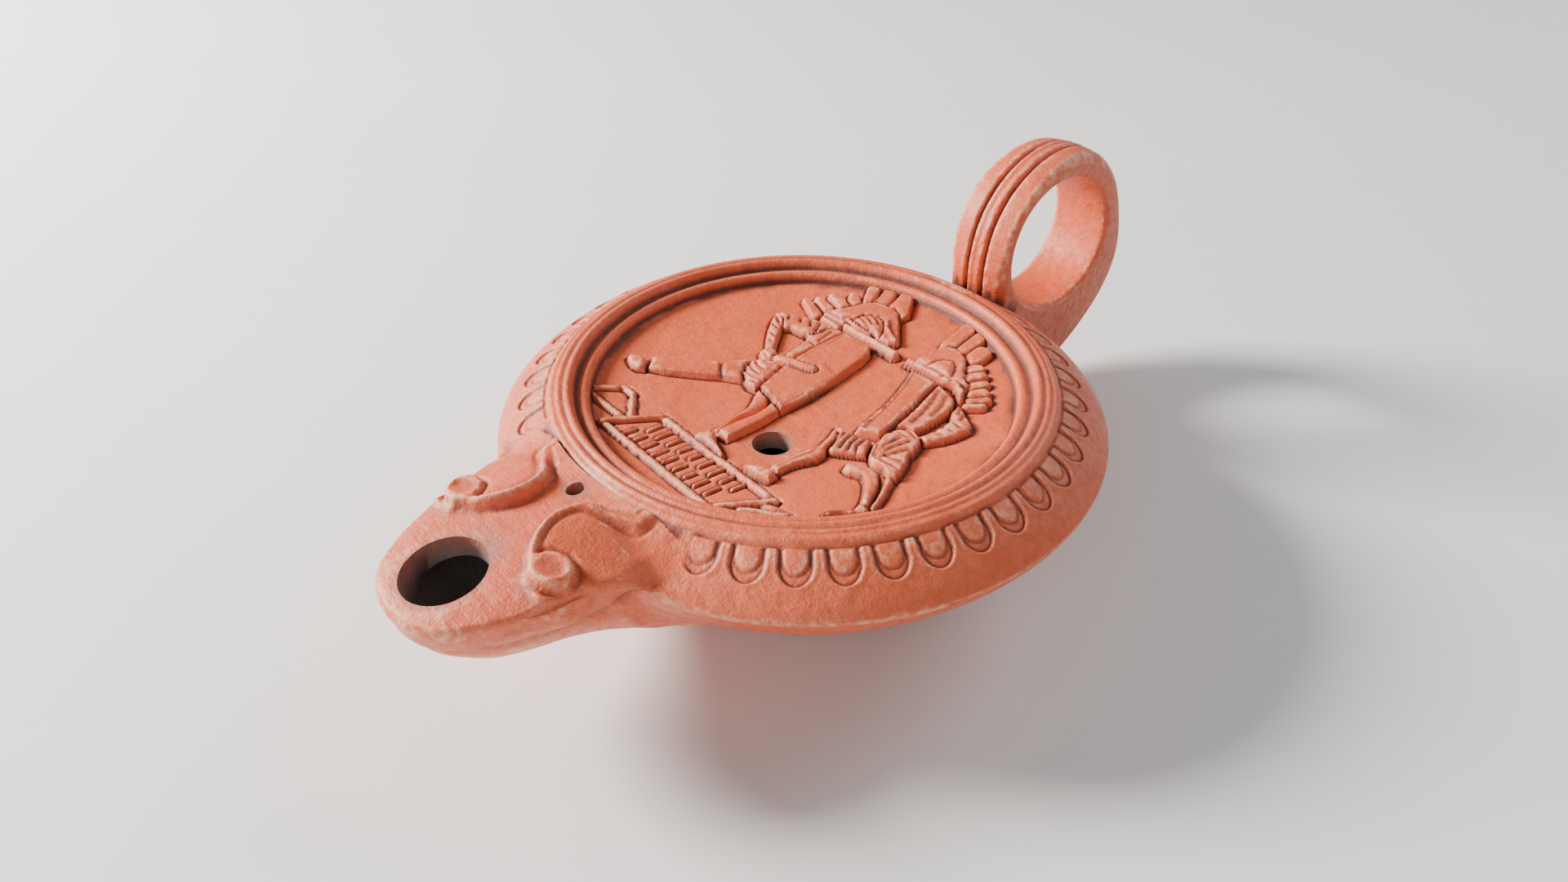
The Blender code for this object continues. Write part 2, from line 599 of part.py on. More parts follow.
def build_lamp():
    """Model the lamp: the turned body, what is joined to it and what is cut from it."""
    lamp_collection = make_collection("oil_lamp")
    forms = make_collection("joined_forms")
    hollows = make_collection("cut_hollows")

    make_tool("nozzle_form", nozzle_solid(0.0, -BASE_RADIUS), forms)
    make_tool("handle_form", handle_solid(), forms)
    for side, label in ((-1, "left"), (1, "right")):
        make_tool("volute_" + label, volute_disc(side), forms)
        make_tool("knob_" + label, knob(side), forms)
        for part, strip in enumerate(bracket(side)):
            make_tool("bracket_%s_%d" % (label, part), strip, forms)
    for label, pads in (("left_fighter", left_fighter()), ("right_fighter", right_fighter()),
                        ("tablet", tablet())):
        for index, (outline, height) in enumerate(pads):
            make_tool("%s_%02d" % (label, index), relief(outline, height), forms)

    cavity = turned("oil_chamber", cavity_profile(), CAVITY_STEPS, hollows)
    cavity.hide_render = True
    cavity.display_type = "WIRE"
    make_tool("flame_channel", nozzle_solid(WALL, -BASE_RADIUS + WALL), hollows)
    wick_y = NOZZLE_TIP + WICK_FROM_TIP
    wick_low = nozzle_underside(wick_y) + WALL + 0.0010
    make_tool("wick_hole", cylinder(WICK_RADIUS, wick_low, RIM_TOP, 0.0, wick_y, 24), hollows)
    fill_low = disc_height(0.0) - 2.0 * WALL
    make_tool("filling_hole", cylinder(FILL_RADIUS, fill_low, RIM_TOP, FILL_X, FILL_Y, 20), hollows)
    air_y = -(BORDER_RADIUS + AIR_HOLE_FROM_RIM)
    air_low = SHOULDER_HEIGHT - 2.0 * WALL
    make_tool("air_hole", cylinder(AIR_HOLE_RADIUS, air_low, RIM_TOP + WALL, 0.0, air_y, 10), hollows)
    for side in (-1, 1):
        for index in range(EGG_COUNT):
            angle = side * (EGG_FIRST + EGG_PITCH * index)
            make_tool("egg_%s_%02d" % ("left" if side < 0 else "right", index), egg_groove(angle), hollows)

    lamp = turned("oil_lamp", body_profile(), BODY_STEPS, lamp_collection)
    combine(lamp, forms, "UNION", "join_forms")
    combine(lamp, hollows, "DIFFERENCE", "cut_hollows")
    settle(lamp)
    lamp.data.materials.append(clay())
    return lamp


clear_scene()
build_lamp()
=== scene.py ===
import math

import bmesh
import bpy
import numpy as np
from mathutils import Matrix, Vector


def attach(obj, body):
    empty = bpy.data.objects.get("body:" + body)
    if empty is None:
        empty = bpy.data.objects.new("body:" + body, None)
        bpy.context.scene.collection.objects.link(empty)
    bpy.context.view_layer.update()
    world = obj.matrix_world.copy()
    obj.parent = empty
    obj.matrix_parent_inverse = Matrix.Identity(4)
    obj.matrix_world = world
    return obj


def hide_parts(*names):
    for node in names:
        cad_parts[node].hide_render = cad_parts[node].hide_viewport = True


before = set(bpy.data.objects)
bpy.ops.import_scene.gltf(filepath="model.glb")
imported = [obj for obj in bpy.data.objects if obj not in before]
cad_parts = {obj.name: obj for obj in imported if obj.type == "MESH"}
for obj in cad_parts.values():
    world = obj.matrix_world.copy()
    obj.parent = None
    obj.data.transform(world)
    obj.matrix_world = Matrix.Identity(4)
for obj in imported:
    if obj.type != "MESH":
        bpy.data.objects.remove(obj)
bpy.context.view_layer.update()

# Lengths are metres. "span" is the radius of the ring where the egg border starts;
# the figures, the nozzle and the volutes are laid out in shares of it.

lamp = {
    "span": 0.0380,
    "ringHeight": 0.0275,
    "bodyRadius": 0.0455,
    "widestHeight": 0.0221,
    "baseRadius": 0.0215,
    "bowlCurve": 1.4,
    "wall": 0.0030,
    "discRadius": 0.0314,
    "dish": 0.0015,
    "baseLine": [(0.0004, 0.0006), (0.0186, 0.0006), (0.0192, 0.0004), (0.0196, 0.0), (0.0200, 0.0),
                 (0.0206, 0.0), (0.0215, 0.0)],    # underside of the foot: from the axis, up
    "turns": 1080,          # steps round the axis
    "trianglesKept": 150000,
}
span = lamp["span"]
ringHeight = lamp["ringHeight"]

# rim profile: distance from the axis in spans, height over the ring in mm
rimProfile = [
    (0.826, -1.85), (0.831, -1.45), (0.837, -0.60), (0.843, -0.28), (0.851, -0.12), (0.862, -0.12),
    (0.870, -0.26), (0.880, -0.42), (0.888, -0.20), (0.895, 0.40), (0.902, 0.92), (0.910, 1.16),
    (0.919, 1.20), (0.927, 1.02), (0.934, 0.84), (0.941, 0.95), (0.949, 1.07), (0.956, 0.95),
    (0.962, 0.76), (0.969, 0.75), (0.976, 0.73), (0.983, 0.60), (0.991, 0.30), (0.997, 0.05),
    (1.000, 0.0),
]

# shoulder from the ring to the widest line: distance from the axis and height over the ring, in spans
shoulderLine = [
    (1.000, 0.000), (1.038, -0.020), (1.069, -0.040), (1.102, -0.060), (1.133, -0.081), (1.155, -0.098),
    (1.172, -0.113), (1.184, -0.126), (1.192, -0.136), (1.1974, -0.142),
]


# small maths used by all shapes

def easeBetween(low, high, value):
    share = np.clip((value - low) / (high - low), 0.0, 1.0)
    return share * share * (3.0 - 2.0 * share)


def roundOver(share):
    share = np.clip(share, 0.0, 1.0)
    return np.sqrt(1.0 - (1.0 - share) ** 2)


def barDistance(u, v, start, end, startHalf, endHalf):
    # signed distance to a tapered bar with round ends, negative inside
    ax, ay = start
    bx, by = end
    length = math.hypot(bx - ax, by - ay)
    along = np.clip(((u - ax) * (bx - ax) + (v - ay) * (by - ay)) / length ** 2, 0.0, 1.0)
    away = np.hypot(u - ax - along * (bx - ax), v - ay - along * (by - ay))
    return away - (startHalf + (endHalf - startHalf) * along)


def pathDistance(u, v, points):
    # distance to an open line through points
    best = np.full(u.shape, 9.0)
    for start, end in zip(points, points[1:]):
        best = np.minimum(best, barDistance(u, v, start, end, 0.0, 0.0))
    return best


def shapeDistance(u, v, points):
    # signed distance to a closed outline, negative inside
    best = np.full(u.shape, 9.0)
    inside = np.zeros(u.shape, bool)
    for (ax, ay), (bx, by) in zip(points, points[1:] + points[:1]):
        best = np.minimum(best, barDistance(u, v, (ax, ay), (bx, by), 0.0, 0.0))
        crossing = (ay > v) != (by > v)
        if by != ay:
            inside ^= crossing & (u < (bx - ax) * (v - ay) / (by - ay) + ax)
    return np.where(inside, -best, best)


def drawn(*numbers):
    # points of a drawing, written as thousandths of a span
    return [(a / 1000.0, b / 1000.0) for a, b in zip(numbers[::2], numbers[1::2])]


def softMax(first, second, width):
    # the higher of two, rounded where they meet
    blend = np.clip(0.5 + 0.5 * (first - second) / width, 0.0, 1.0)
    return second + (first - second) * blend + width * blend * (1.0 - blend)


def fromTable(pairs, value):
    return np.interp(value, [p[0] for p in pairs], [p[1] for p in pairs])


def inMetres(place):
    return place[0] * span, place[1] * span


def readings(items, name, width=1, kind=float):
    # one number or one row of numbers from each item of a mesh
    values = np.empty(len(items) * width, kind)
    items.foreach_get(name, values)
    return values.reshape(-1, width) if width > 1 else values


def smoothTable(pairs, samples=600, passes=3):
    # a finely sampled, slightly rounded version of a list of points
    xs = np.linspace(pairs[0][0], pairs[-1][0], samples)
    ys = fromTable(pairs, xs)
    for _ in range(passes):
        inner = 0.25 * ys[:-2] + 0.5 * ys[1:-1] + 0.25 * ys[2:]
        ys = np.concatenate([ys[:1], inner, ys[-1:]])
    return xs, ys


shoulderTableR, shoulderTableZ = smoothTable(shoulderLine, 400, 60)


# relief on the disc

figures = {
    "seenFrom": (2.513, -2.445, 2.321),   # where the drawing was made from, in spans
    "drawingDepth": -0.10,                # height of the plane it was drawn on
    "softEdge": 0.014,
    "outlineCut": 0.00030,                # thin cut round each part
    "outlineWidth": 0.008,
    "limb": 0.00105,
    "dress": 0.00115,
    "shield": 0.00125,
    "weapon": 0.0017,
    "crest": 0.00110,
    "feather": 0.00085,
    "brim": 0.00165,
    "frame": 0.00065,
    "stroke": 0.00038,
    "strokesPerRow": 9,
    "strokeStarts": (-0.236, -0.286),
    "strokeMiddle": -0.561,
    "rowStep": 0.081,
    "strokeStep": 0.0610,
    "strokeLean": 0.004,
    "strokeHalves": (0.027, 0.022, 0.028, 0.021, 0.025),
}


class Relief:
    # heights over the disc, built up part by part

    def __init__(self, x, y, ground):
        self.x = x / span
        self.y = y / span
        self.ground = (ground - ringHeight) / span
        self.height = np.zeros(x.shape)

    def seen(self, height):
        # where each point falls on the drawing when it stands this high over the disc
        fx, fy, fz = figures["seenFrom"]
        z = self.ground + height / span
        stretch = (fz - figures["drawingDepth"]) / (fz - z)
        return fx + (self.x - fx) * stretch, fy + (self.y - fy) * stretch

    def add(self, distance, height, dome=0.35, soft=None):
        soft = soft or figures["softEdge"]
        flat = easeBetween(0.0, 1.0, -distance / soft)
        crown = roundOver(-distance / (3.2 * soft))
        part = height * ((1.0 - dome) * flat + dome * crown)
        near = np.exp(-(distance / figures["outlineWidth"]) ** 2)
        cut = figures["outlineCut"] * near * (distance > -0.5 * figures["outlineWidth"])
        inside = distance < 0.0
        self.height = np.where(inside, np.maximum(self.height - cut, part), self.height - cut)

    def bar(self, start, end, startHalf, endHalf, height, dome=0.45, soft=None):
        u, v = self.seen(height)
        self.add(barDistance(u, v, start, end, startHalf, endHalf), height, dome, soft)

    def shape(self, points, height, dome=0.25):
        u, v = self.seen(height)
        self.add(shapeDistance(u, v, points), height, dome)

    def groove(self, points, depth, width=0.009, height=0.0010):
        u, v = self.seen(height)
        away = pathDistance(u, v, points)
        self.height = self.height - depth * np.exp(-(away / width) ** 2)

    def ridge(self, points, rise, width=0.010, height=0.0010):
        u, v = self.seen(height)
        away = pathDistance(u, v, points)
        self.height = self.height + rise * np.exp(-(away / width) ** 2)


def featherFan(relief, feathers):
    # each feather: root, tip and the half widths at both
    for index, row in enumerate(feathers):
        root, tip, (rootHalf, tipHalf) = drawn(*row)
        height = figures["feather"] * (1.0 if index % 2 else 1.15)
        relief.bar(root, tip, 1.22 * rootHalf, 1.36 * tipHalf, height, 0.35, 0.012)


def leftFighter(relief):
    f = figures
    featherFan(relief, [(-430, 500, -548, 552, 26, 18), (-420, 570, -520, 602, 26, 17),
                        (-395, 645, -492, 672, 30, 21), (-375, 700, -430, 742, 31, 22),
                        (-345, 760, -405, 850, 31, 27), (-285, 785, -352, 922, 37, 27),
                        (-190, 775, -262, 925, 50, 27)])
    # rear leg with greave, then the foot
    relief.shape(drawn(-300, 60, -345, 45, -385, -5, -415, -60, -470, -105, -520, -140, -570, -168,
                       -605, -212, -655, -258, -600, -325, -530, -290, -460, -242, -390, -190,
                       -330, -140, -250, -95), f["limb"], 0.45)
    relief.groove(drawn(-415, -68, -380, -105, -340, -137), 0.00040)
    relief.groove(drawn(-560, -190, -480, -130), 0.00012)
    relief.shape(drawn(-640, -272, -690, -282, -738, -308, -728, -336, -680, -356, -628, -356,
                       -600, -334), f["limb"] * 1.1, 0.6)
    relief.groove(drawn(-652, -272, -625, -300, -602, -330), 0.00045, 0.010)
    # front leg: calf behind, flat greave before it, then the foot
    relief.shape(drawn(-180, -80, -132, -150, -103, -210, -95, -270, -86, -340, -90, -400, -58, -400,
                       -56, -300, -46, -200, -66, -100), f["limb"], 0.6)
    relief.shape(drawn(-70, -95, 10, -120, 18, -220, 12, -330, 5, -402, -66, -396, -58, -300, -46, -220,
                       -50, -160), f["limb"] * 1.1, 0.25)
    relief.groove(drawn(-78, -105, -56, -160, -50, -220, -60, -300, -74, -390), 0.00042, 0.008)
    relief.shape(drawn(-92, -402, -112, -470, 60, -480, 68, -466, 30, -450, -20, -432, -50, -405),
                 f["limb"] * 1.15, 0.6)
    relief.groove(drawn(-72, -398, -45, -415, 4, -408), 0.00030, 0.007)
    # breast between arm and shield
    relief.shape(drawn(-330, 475, -225, 480, -230, 170, -285, 145, -296, 220, -306, 310, -336, 345,
                       -345, 420), f["dress"])
    for row, depth in (((-305, 445, -290, 390, -302, 355), 0.00030), ((-306, 300, -240, 302), 0.00032),
                       ((-282, 262, -276, 170), 0.00022), ((-262, 425, -246, 335), 0.00022)):
        relief.groove(drawn(*row), depth, 0.008)
    # loincloth, gathered in curved folds
    relief.shape(drawn(-290, 98, -330, 70, -345, 35, -330, -10, -300, -55, -262, -86, -215, -106,
                       -175, -100, -185, -20, -205, 70, -240, 105), f["dress"] * 1.15)
    for row in ((-318, 72, -285, 60, -250, 68, -222, 88), (-335, 45, -295, 18, -245, 14, -208, 38),
                (-334, 10, -290, -18, -240, -24, -200, -4), (-318, -26, -280, -52, -235, -58, -192, -44),
                (-285, -66, -245, -84, -190, -80)):
        relief.groove(drawn(*row), 0.00036, 0.0075)
    # shield
    relief.shape(drawn(-225, 475, -232, 400, -236, 300, -226, 150, -205, 40, -175, -78, -100, -98,
                       8, -130, 18, 0, 12, 120, -4, 250, -20, 380, -42, 445, -78, 485), f["shield"],
                 0.08)
    relief.ridge(drawn(-168, -66, -95, -86, 0, -116), 0.00022, 0.007, f["shield"])
    relief.ridge(drawn(-212, 462, -222, 300, -212, 150, -192, 40, -168, -50), 0.00014, 0.007,
                 f["shield"])
    relief.groove(drawn(-60, 470, -24, 360, -8, 200, 0, 0, -4, -100), 0.00014, 0.008, f["shield"])
    relief.groove(drawn(-100, 228, -40, 212), 0.00010, 0.008, f["shield"])
    # arm bent back, wrapped in bands
    relief.shape(drawn(-290, 470, -360, 476, -430, 456, -500, 426, -552, 400, -568, 368, -520, 290,
                       -440, 315, -425, 332, -360, 336, -325, 350), f["limb"] * 1.15, 0.5)
    relief.shape(drawn(-562, 378, -545, 330, -500, 268, -440, 200, -385, 145, -330, 150, -350, 178,
                       -400, 242, -452, 315, -500, 360), f["limb"] * 1.1, 0.5)
    for row in ((-345, 440, -318, 385), (-402, 440, -362, 395), (-455, 432, -415, 388),
                (-505, 415, -470, 365), (-535, 352, -485, 320), (-505, 300, -455, 282),
                (-462, 245, -425, 232), (-425, 205, -392, 190)):
        relief.groove(drawn(*row), 0.00040, 0.0075)
    # hand and short sword
    relief.shape(drawn(-385, 152, -378, 100, -332, 78, -285, 90, -262, 118, -290, 150, -340, 172),
                 f["weapon"] * 0.80, 0.6)
    relief.groove(drawn(-372, 122, -330, 108, -290, 112), 0.00022, 0.006, f["weapon"])
    relief.bar((-0.285, 0.134), (-0.132, 0.175), 0.026, 0.031, f["weapon"], 0.55)
    # neck, helmet bowl, its crest and brim
    relief.bar((-0.385, 0.502), (-0.285, 0.494), 0.020, 0.022, f["dress"])
    relief.shape(drawn(-425, 560, -392, 610, -365, 680, -352, 735, -318, 772, -270, 788, -220, 786,
                       -170, 766, -130, 730, -90, 682, -50, 638, -18, 602, -8, 572, -40, 545, -340, 545),
                 f["crest"], 0.30)
    relief.shape(drawn(-285, 575, -284, 636, -255, 676, -225, 688, -186, 677, -150, 642, -124, 606,
                       -104, 560), f["crest"] * 1.3, 0.6)
    relief.ridge(drawn(-150, 662, -118, 622, -70, 594, -22, 572), 0.00045, 0.010)
    for row in ((-272, 640, -215, 618, -182, 600), (-240, 664, -200, 646, -165, 624),
                (-262, 605, -215, 590, -170, 572)):
        relief.groove(drawn(*row), 0.00030, 0.007, f["crest"])
    relief.bar((-0.310, 0.577), (-0.150, 0.552), 0.012, 0.013, f["brim"] * 0.85, 0.7)
    relief.bar((-0.405, 0.536), (-0.300, 0.540), 0.018, 0.020, f["brim"] * 0.8, 0.6)
    relief.bar((-0.275, 0.530), (0.026, 0.519), 0.019, 0.023, f["brim"], 0.6)


def rightFighter(relief):
    f = figures
    featherFan(relief, [(485, 430, 518, 480, 19, 24), (468, 462, 508, 518, 22, 26),
                        (440, 500, 475, 555, 22, 23), (410, 545, 438, 605, 24, 22),
                        (362, 592, 390, 645, 26, 24), (328, 645, 352, 680, 27, 23),
                        (287, 725, 281, 788, 36, 34), (207, 735, 196, 868, 31, 34),
                        (147, 725, 120, 895, 31, 31)])
    # thigh and rear leg, with its foot on the rim's edge
    relief.shape(drawn(545, -100, 600, -100, 622, -160, 650, -220, 668, -290, 645, -305, 618, -245,
                       585, -185, 540, -140), f["limb"] * 0.9, 0.5)
    relief.shape(drawn(412, -176, 430, -155, 470, -136, 505, -124, 545, -132, 578, -165, 602, -205,
                       624, -255, 642, -292, 624, -312, 600, -302, 582, -268, 556, -232, 528, -202,
                       498, -188, 450, -206, 420, -202), f["limb"] * 1.2, 0.6)
    relief.groove(drawn(560, -118, 600, -175, 635, -260), 0.00035, 0.008)
    relief.shape(drawn(600, -300, 650, -298, 662, -322, 632, -352, 600, -386, 576, -420, 562, -452,
                       552, -440, 560, -402, 586, -372, 612, -342), f["limb"], 0.6)
    # front leg and foot
    relief.shape(drawn(222, -40, 246, -100, 262, -170, 252, -230, 242, -300, 236, -370, 230, -405,
                       284, -402, 288, -340, 308, -285, 330, -245, 326, -192, 300, -160, 282, -60),
                 f["limb"] * 1.05, 0.6)
    relief.groove(drawn(262, -70, 276, -150, 290, -225, 272, -300, 262, -380), 0.00022, 0.009)
    relief.shape(drawn(148, -466, 170, -440, 212, -412, 250, -394, 290, -400, 296, -450, 240, -462),
                 f["limb"] * 1.2, 0.6)
    relief.groove(drawn(232, -404, 262, -398, 288, -406), 0.00022, 0.006)
    # apron with upright folds
    relief.shape(drawn(218, -34, 236, -30, 275, -32, 330, -20, 385, 2, 410, -40, 436, -90, 400, -116,
                       352, -150, 322, -166, 300, -158, 285, -110, 262, -60), f["dress"] * 1.1)
    for x in (0.288, 0.316, 0.344, 0.372):
        top, foot = -0.030 + 0.35 * (x - 0.288), -0.150 + 0.5 * (x - 0.288)
        relief.groove([(x, top), (x + 0.010, -0.085), (x + 0.028, foot)], 0.00044, 0.0075)
    # gathered cloth at the hip
    relief.shape(drawn(392, 100, 420, 140, 460, 158, 500, 150, 526, 122, 542, 70, 548, 30, 572, -10,
                       592, -70, 602, -106, 560, -122, 520, -100, 470, -102, 430, -76, 400, -20,
                       388, 40), f["dress"] * 1.2)
    for row in ((404, 104, 450, 128, 505, 112), (400, 60, 430, 92, 470, 92),
                (408, 20, 438, -35, 456, -80), (462, 70, 452, -10, 462, -80),
                (500, 75, 482, 5, 468, -78), (532, 40, 506, -30, 480, -88),
                (500, -52, 560, -36), (500, -80, 580, -74)):
        relief.groove(drawn(*row), 0.00034, 0.0075)
    # breast and side behind the shield
    relief.shape(drawn(305, 475, 360, 458, 410, 442, 445, 430, 472, 360, 474, 280, 474, 200, 462, 150,
                       420, 142, 388, 100, 360, 240, 335, 350), f["dress"])
    relief.groove(drawn(350, 425, 386, 335, 410, 250, 420, 185), 0.00028, 0.010)
    relief.groove(drawn(398, 415, 432, 340, 446, 270), 0.00022, 0.010)
    # arm, bent back to the hip
    relief.shape(drawn(440, 432, 490, 412, 540, 378, 582, 356, 600, 318, 590, 245, 572, 190, 552, 155,
                       534, 128, 490, 140, 500, 190, 506, 250, 502, 312, 470, 352), f["limb"] * 1.15,
                 0.55)
    for row in ((458, 405, 476, 376), (490, 390, 508, 354), (524, 368, 542, 332), (530, 300, 566, 292),
                (522, 248, 558, 250), (514, 204, 542, 204)):
        relief.groove(drawn(*row), 0.00040, 0.008)
    # shield
    relief.shape(drawn(164, 468, 190, 400, 224, 310, 250, 220, 274, 110, 290, -4, 335, 8, 392, 34,
                       382, 120, 366, 200, 356, 280, 332, 350, 316, 430, 308, 474), f["shield"], 0.08)
    relief.ridge(drawn(178, 458, 204, 395, 238, 305, 264, 215, 288, 105, 302, 10), 0.00018, 0.007,
                 f["shield"])
    relief.groove(drawn(196, 445, 222, 385, 252, 300, 278, 210, 302, 100, 316, 30), 0.00014, 0.008,
                  f["shield"])
    # helmet bowl, crest and brim
    relief.shape(drawn(120, 535, 126, 600, 118, 660, 134, 712, 190, 734, 240, 722, 280, 696, 304, 660,
                       332, 620, 362, 582, 402, 556, 432, 500, 420, 480, 320, 520), f["crest"], 0.30)
    relief.shape(drawn(182, 535, 190, 596, 205, 626, 235, 646, 266, 632, 292, 596, 312, 545),
                 f["crest"] * 1.3, 0.6)
    relief.groove(drawn(138, 690, 150, 640, 142, 590), 0.00018, 0.008)
    relief.bar((0.106, 0.521), (0.305, 0.524), 0.019, 0.020, f["brim"], 0.6)
    relief.bar((0.305, 0.526), (0.352, 0.536), 0.018, 0.018, f["brim"], 0.6)
    relief.bar((0.352, 0.536), (0.402, 0.505), 0.018, 0.018, f["brim"] * 0.95, 0.6)
    relief.bar((0.402, 0.505), (0.440, 0.450), 0.018, 0.016, f["brim"] * 0.9, 0.6)
    relief.groove(drawn(120, 506, 300, 508, 350, 508, 395, 475), 0.00020, 0.006, f["brim"])


def tabletAndStrokes(relief):
    f = figures
    corners = drawn(-280, -490, 395, -514, 256, -706, -420, -678)
    grips = ((-360, -580, -480, -484), (-540, -478, -645, -580), (-480, -482, -540, -478),
             (-615, -602, -375, -606), (375, -555, 495, -532), (480, -542, 345, -632))
    for row in grips:
        start, end = drawn(*row)
        relief.bar(start, end, 0.016, 0.016, f["frame"] * 0.9, 0.6, 0.012)
    for start, end in zip(corners, corners[1:] + corners[:1]):
        relief.bar(start, end, 0.017, 0.017, f["frame"], 0.6, 0.013)
    # two rows of plain parallel strokes
    for row, first in enumerate(f["strokeStarts"]):
        middle = f["strokeMiddle"] - f["rowStep"] * row
        for index in range(f["strokesPerRow"]):
            x = first + f["strokeStep"] * index
            tall = f["strokeHalves"][(index * 2 + row) % len(f["strokeHalves"])]
            start, end = (x - f["strokeLean"], middle - tall), (x + f["strokeLean"], middle + tall)
            relief.bar(start, end, 0.0085, 0.0085, f["stroke"], 0.6, 0.009)


def discGround(radius):
    share = np.clip(radius / lamp["discRadius"], 0.0, 1.0)
    edge = ringHeight + rimProfile[0][1] * 0.001
    return edge - lamp["dish"] * (1.0 - share * share)


def discRelief(x, y):
    relief = Relief(x, y, discGround(np.hypot(x, y)))
    tabletAndStrokes(relief)
    rightFighter(relief)
    leftFighter(relief)
    return relief.height


# nozzle and volutes, seen from above, in spans

nozzle = {
    "halfWidths": [(-1.776, 0.0), (-1.770, 0.055), (-1.755, 0.105), (-1.725, 0.155), (-1.690, 0.200),
                   (-1.640, 0.245), (-1.590, 0.280), (-1.530, 0.308), (-1.460, 0.332), (-1.400, 0.345),
                   (-1.330, 0.356), (-1.270, 0.372), (-1.210, 0.396), (-1.150, 0.430), (-1.090, 0.475),
                   (-1.030, 0.540), (-0.950, 0.640)],
    "topLine": [(-1.80, -0.066), (-1.74, -0.053), (-1.66, -0.041), (-1.573, -0.030), (-1.45, -0.016),
                (-1.30, 0.000), (-1.15, 0.014), (-1.02, 0.018), (-0.90, 0.018)],
    "edgeLine": [(-1.80, -0.076), (-1.70, -0.066), (-1.58, -0.059), (-1.46, -0.054), (-1.36, -0.050),
                 (-1.26, -0.052), (-1.18, -0.062), (-1.10, -0.085), (-1.00, -0.120)],
    "tipRound": 0.20,
    "tipHalf": 0.262,
    "edgeRound": 0.0005,
    # mm in from the edge, mm down
    "sideBand": [(0.0, 0.0), (0.04, -0.35), (0.20, -0.95), (0.46, -1.75), (0.52, -2.20), (0.58, -2.75),
                 (1.25, -3.05), (1.40, -3.45), (1.7, -3.75), (3.0, -4.2)],
    "sideFade": (0.0003, 0.0045),   # the band starts this far outside the body
    "flankFall": 0.7,
    "bandWidth": 0.0014,
    "noseRound": 0.0095,
    "keelReach": 0.0676,
    "keelTip": 0.0166,
    "keelRoot": 0.0010,
    "keelEnd": -0.016,
    "wick": (0.0, -1.571),
    "wickRadius": 0.0055,
    "airHole": (0.0, -1.068),
    "airRadius": 0.00115,
    "fill": (0.0065, -0.0122),
    "fillRadius": 0.0029,
}

volute = {
    # edge of the pad from the rim round the channel to the knob, then out to the nozzle's side
    "edge": [(0.262, -0.940), (0.262, -0.975), (0.262, -1.005), (0.220, -1.026), (0.175, -1.050),
             (0.130, -1.074), (0.100, -1.096), (0.081, -1.130), (0.072, -1.170), (0.071, -1.210),
             (0.079, -1.250), (0.096, -1.290), (0.121, -1.328), (0.154, -1.362), (0.193, -1.388),
             (0.236, -1.405), (0.280, -1.412), (0.322, -1.405), (0.370, -1.385)],
    "outside": [(0.60, -1.30), (0.95, -1.05), (0.95, -0.60), (0.262, -0.60)],
    "height": 0.052,
    "fall": 0.42,
    "lip": 0.017,
    "knob": (0.268, -1.338),
    "knobLong": 0.080,
    "knobShort": 0.068,
    "knobTurn": 0.5,
    "knobHeight": 0.021,
    "knobFall": 0.16,
    "tail": (14.3, 1.1, 0.00085),    # band down the nozzle's side: direction and width in degrees, rise
}

eggs = {
    # directions from the nozzle in degrees, lengths in metres
    "fade": (25.0, 27.0),
    "first": 28.0,
    "pitch": 8.486,
    "count": 17,
    "half": 0.00215,
    "length": 0.0042,
    "depth": 0.00024,
    "padHalf": 0.00140,
    "padLength": 0.0028,
}


def outlineOfNozzle():
    table = nozzle["halfWidths"]
    tip = table[0][0]
    ys = np.linspace(tip, table[-1][0], 240)
    widths = fromTable(table, ys)
    close = np.clip((ys - tip) / nozzle["tipRound"], 0.0, 1.0)
    blunt = nozzle["tipHalf"] * np.sqrt(1.0 - (1.0 - close) ** 2)
    widths = np.where(close < 1.0, np.maximum(widths, blunt), widths)
    for _ in range(2):
        widths[1:-1] = 0.25 * widths[:-2] + 0.5 * widths[1:-1] + 0.25 * widths[2:]
    widths[0] = 0.0
    return ys * span, widths * span


nozzleYs, nozzleWidths = outlineOfNozzle()


def nozzleEdgeDistance(x, y):
    # distance in from the nozzle's side, positive inside
    best = np.full(x.shape, 1.0)
    side = np.abs(x)
    for i in range(0, len(nozzleYs) - 3, 3):
        best = np.minimum(best, barDistance(side, y, (nozzleWidths[i], nozzleYs[i]),
                                            (nozzleWidths[i + 3], nozzleYs[i + 3]), 0.0, 0.0))
    inside = (side < np.interp(y, nozzleYs, nozzleWidths, left=-1.0, right=-1.0)) & (y > nozzleYs[0])
    return np.where(inside, best, -best)


def keelHeight(y):
    # lowest line of the nozzle, from its tip to the base
    reach = nozzle["keelReach"]
    run = np.clip((y + reach) / (reach - lamp["baseRadius"]), 0.0, 1.0)
    return nozzle["keelTip"] + (nozzle["keelRoot"] - nozzle["keelTip"]) * run


def outlineRadius(angle):
    # plan outline of body and nozzle, by direction; angle 0 is towards the nozzle
    turn = np.abs(angle)
    angles = np.arctan2(nozzleWidths, -nozzleYs)
    reach = np.hypot(nozzleWidths, nozzleYs)
    order = np.argsort(angles)
    nozzleReach = np.interp(turn, angles[order], reach[order])
    nozzleReach = np.where(turn > angles.max(), 0.0, nozzleReach)
    heading, width, rise = volute["tail"]
    nozzleReach = nozzleReach + rise * np.exp(-((np.degrees(turn) - heading) / width) ** 2)
    return softMax(nozzleReach, np.full(turn.shape, lamp["bodyRadius"]), 0.0012)


def shoulderHeight(radius):
    return ringHeight + span * np.interp(radius / span, shoulderTableR, shoulderTableZ)


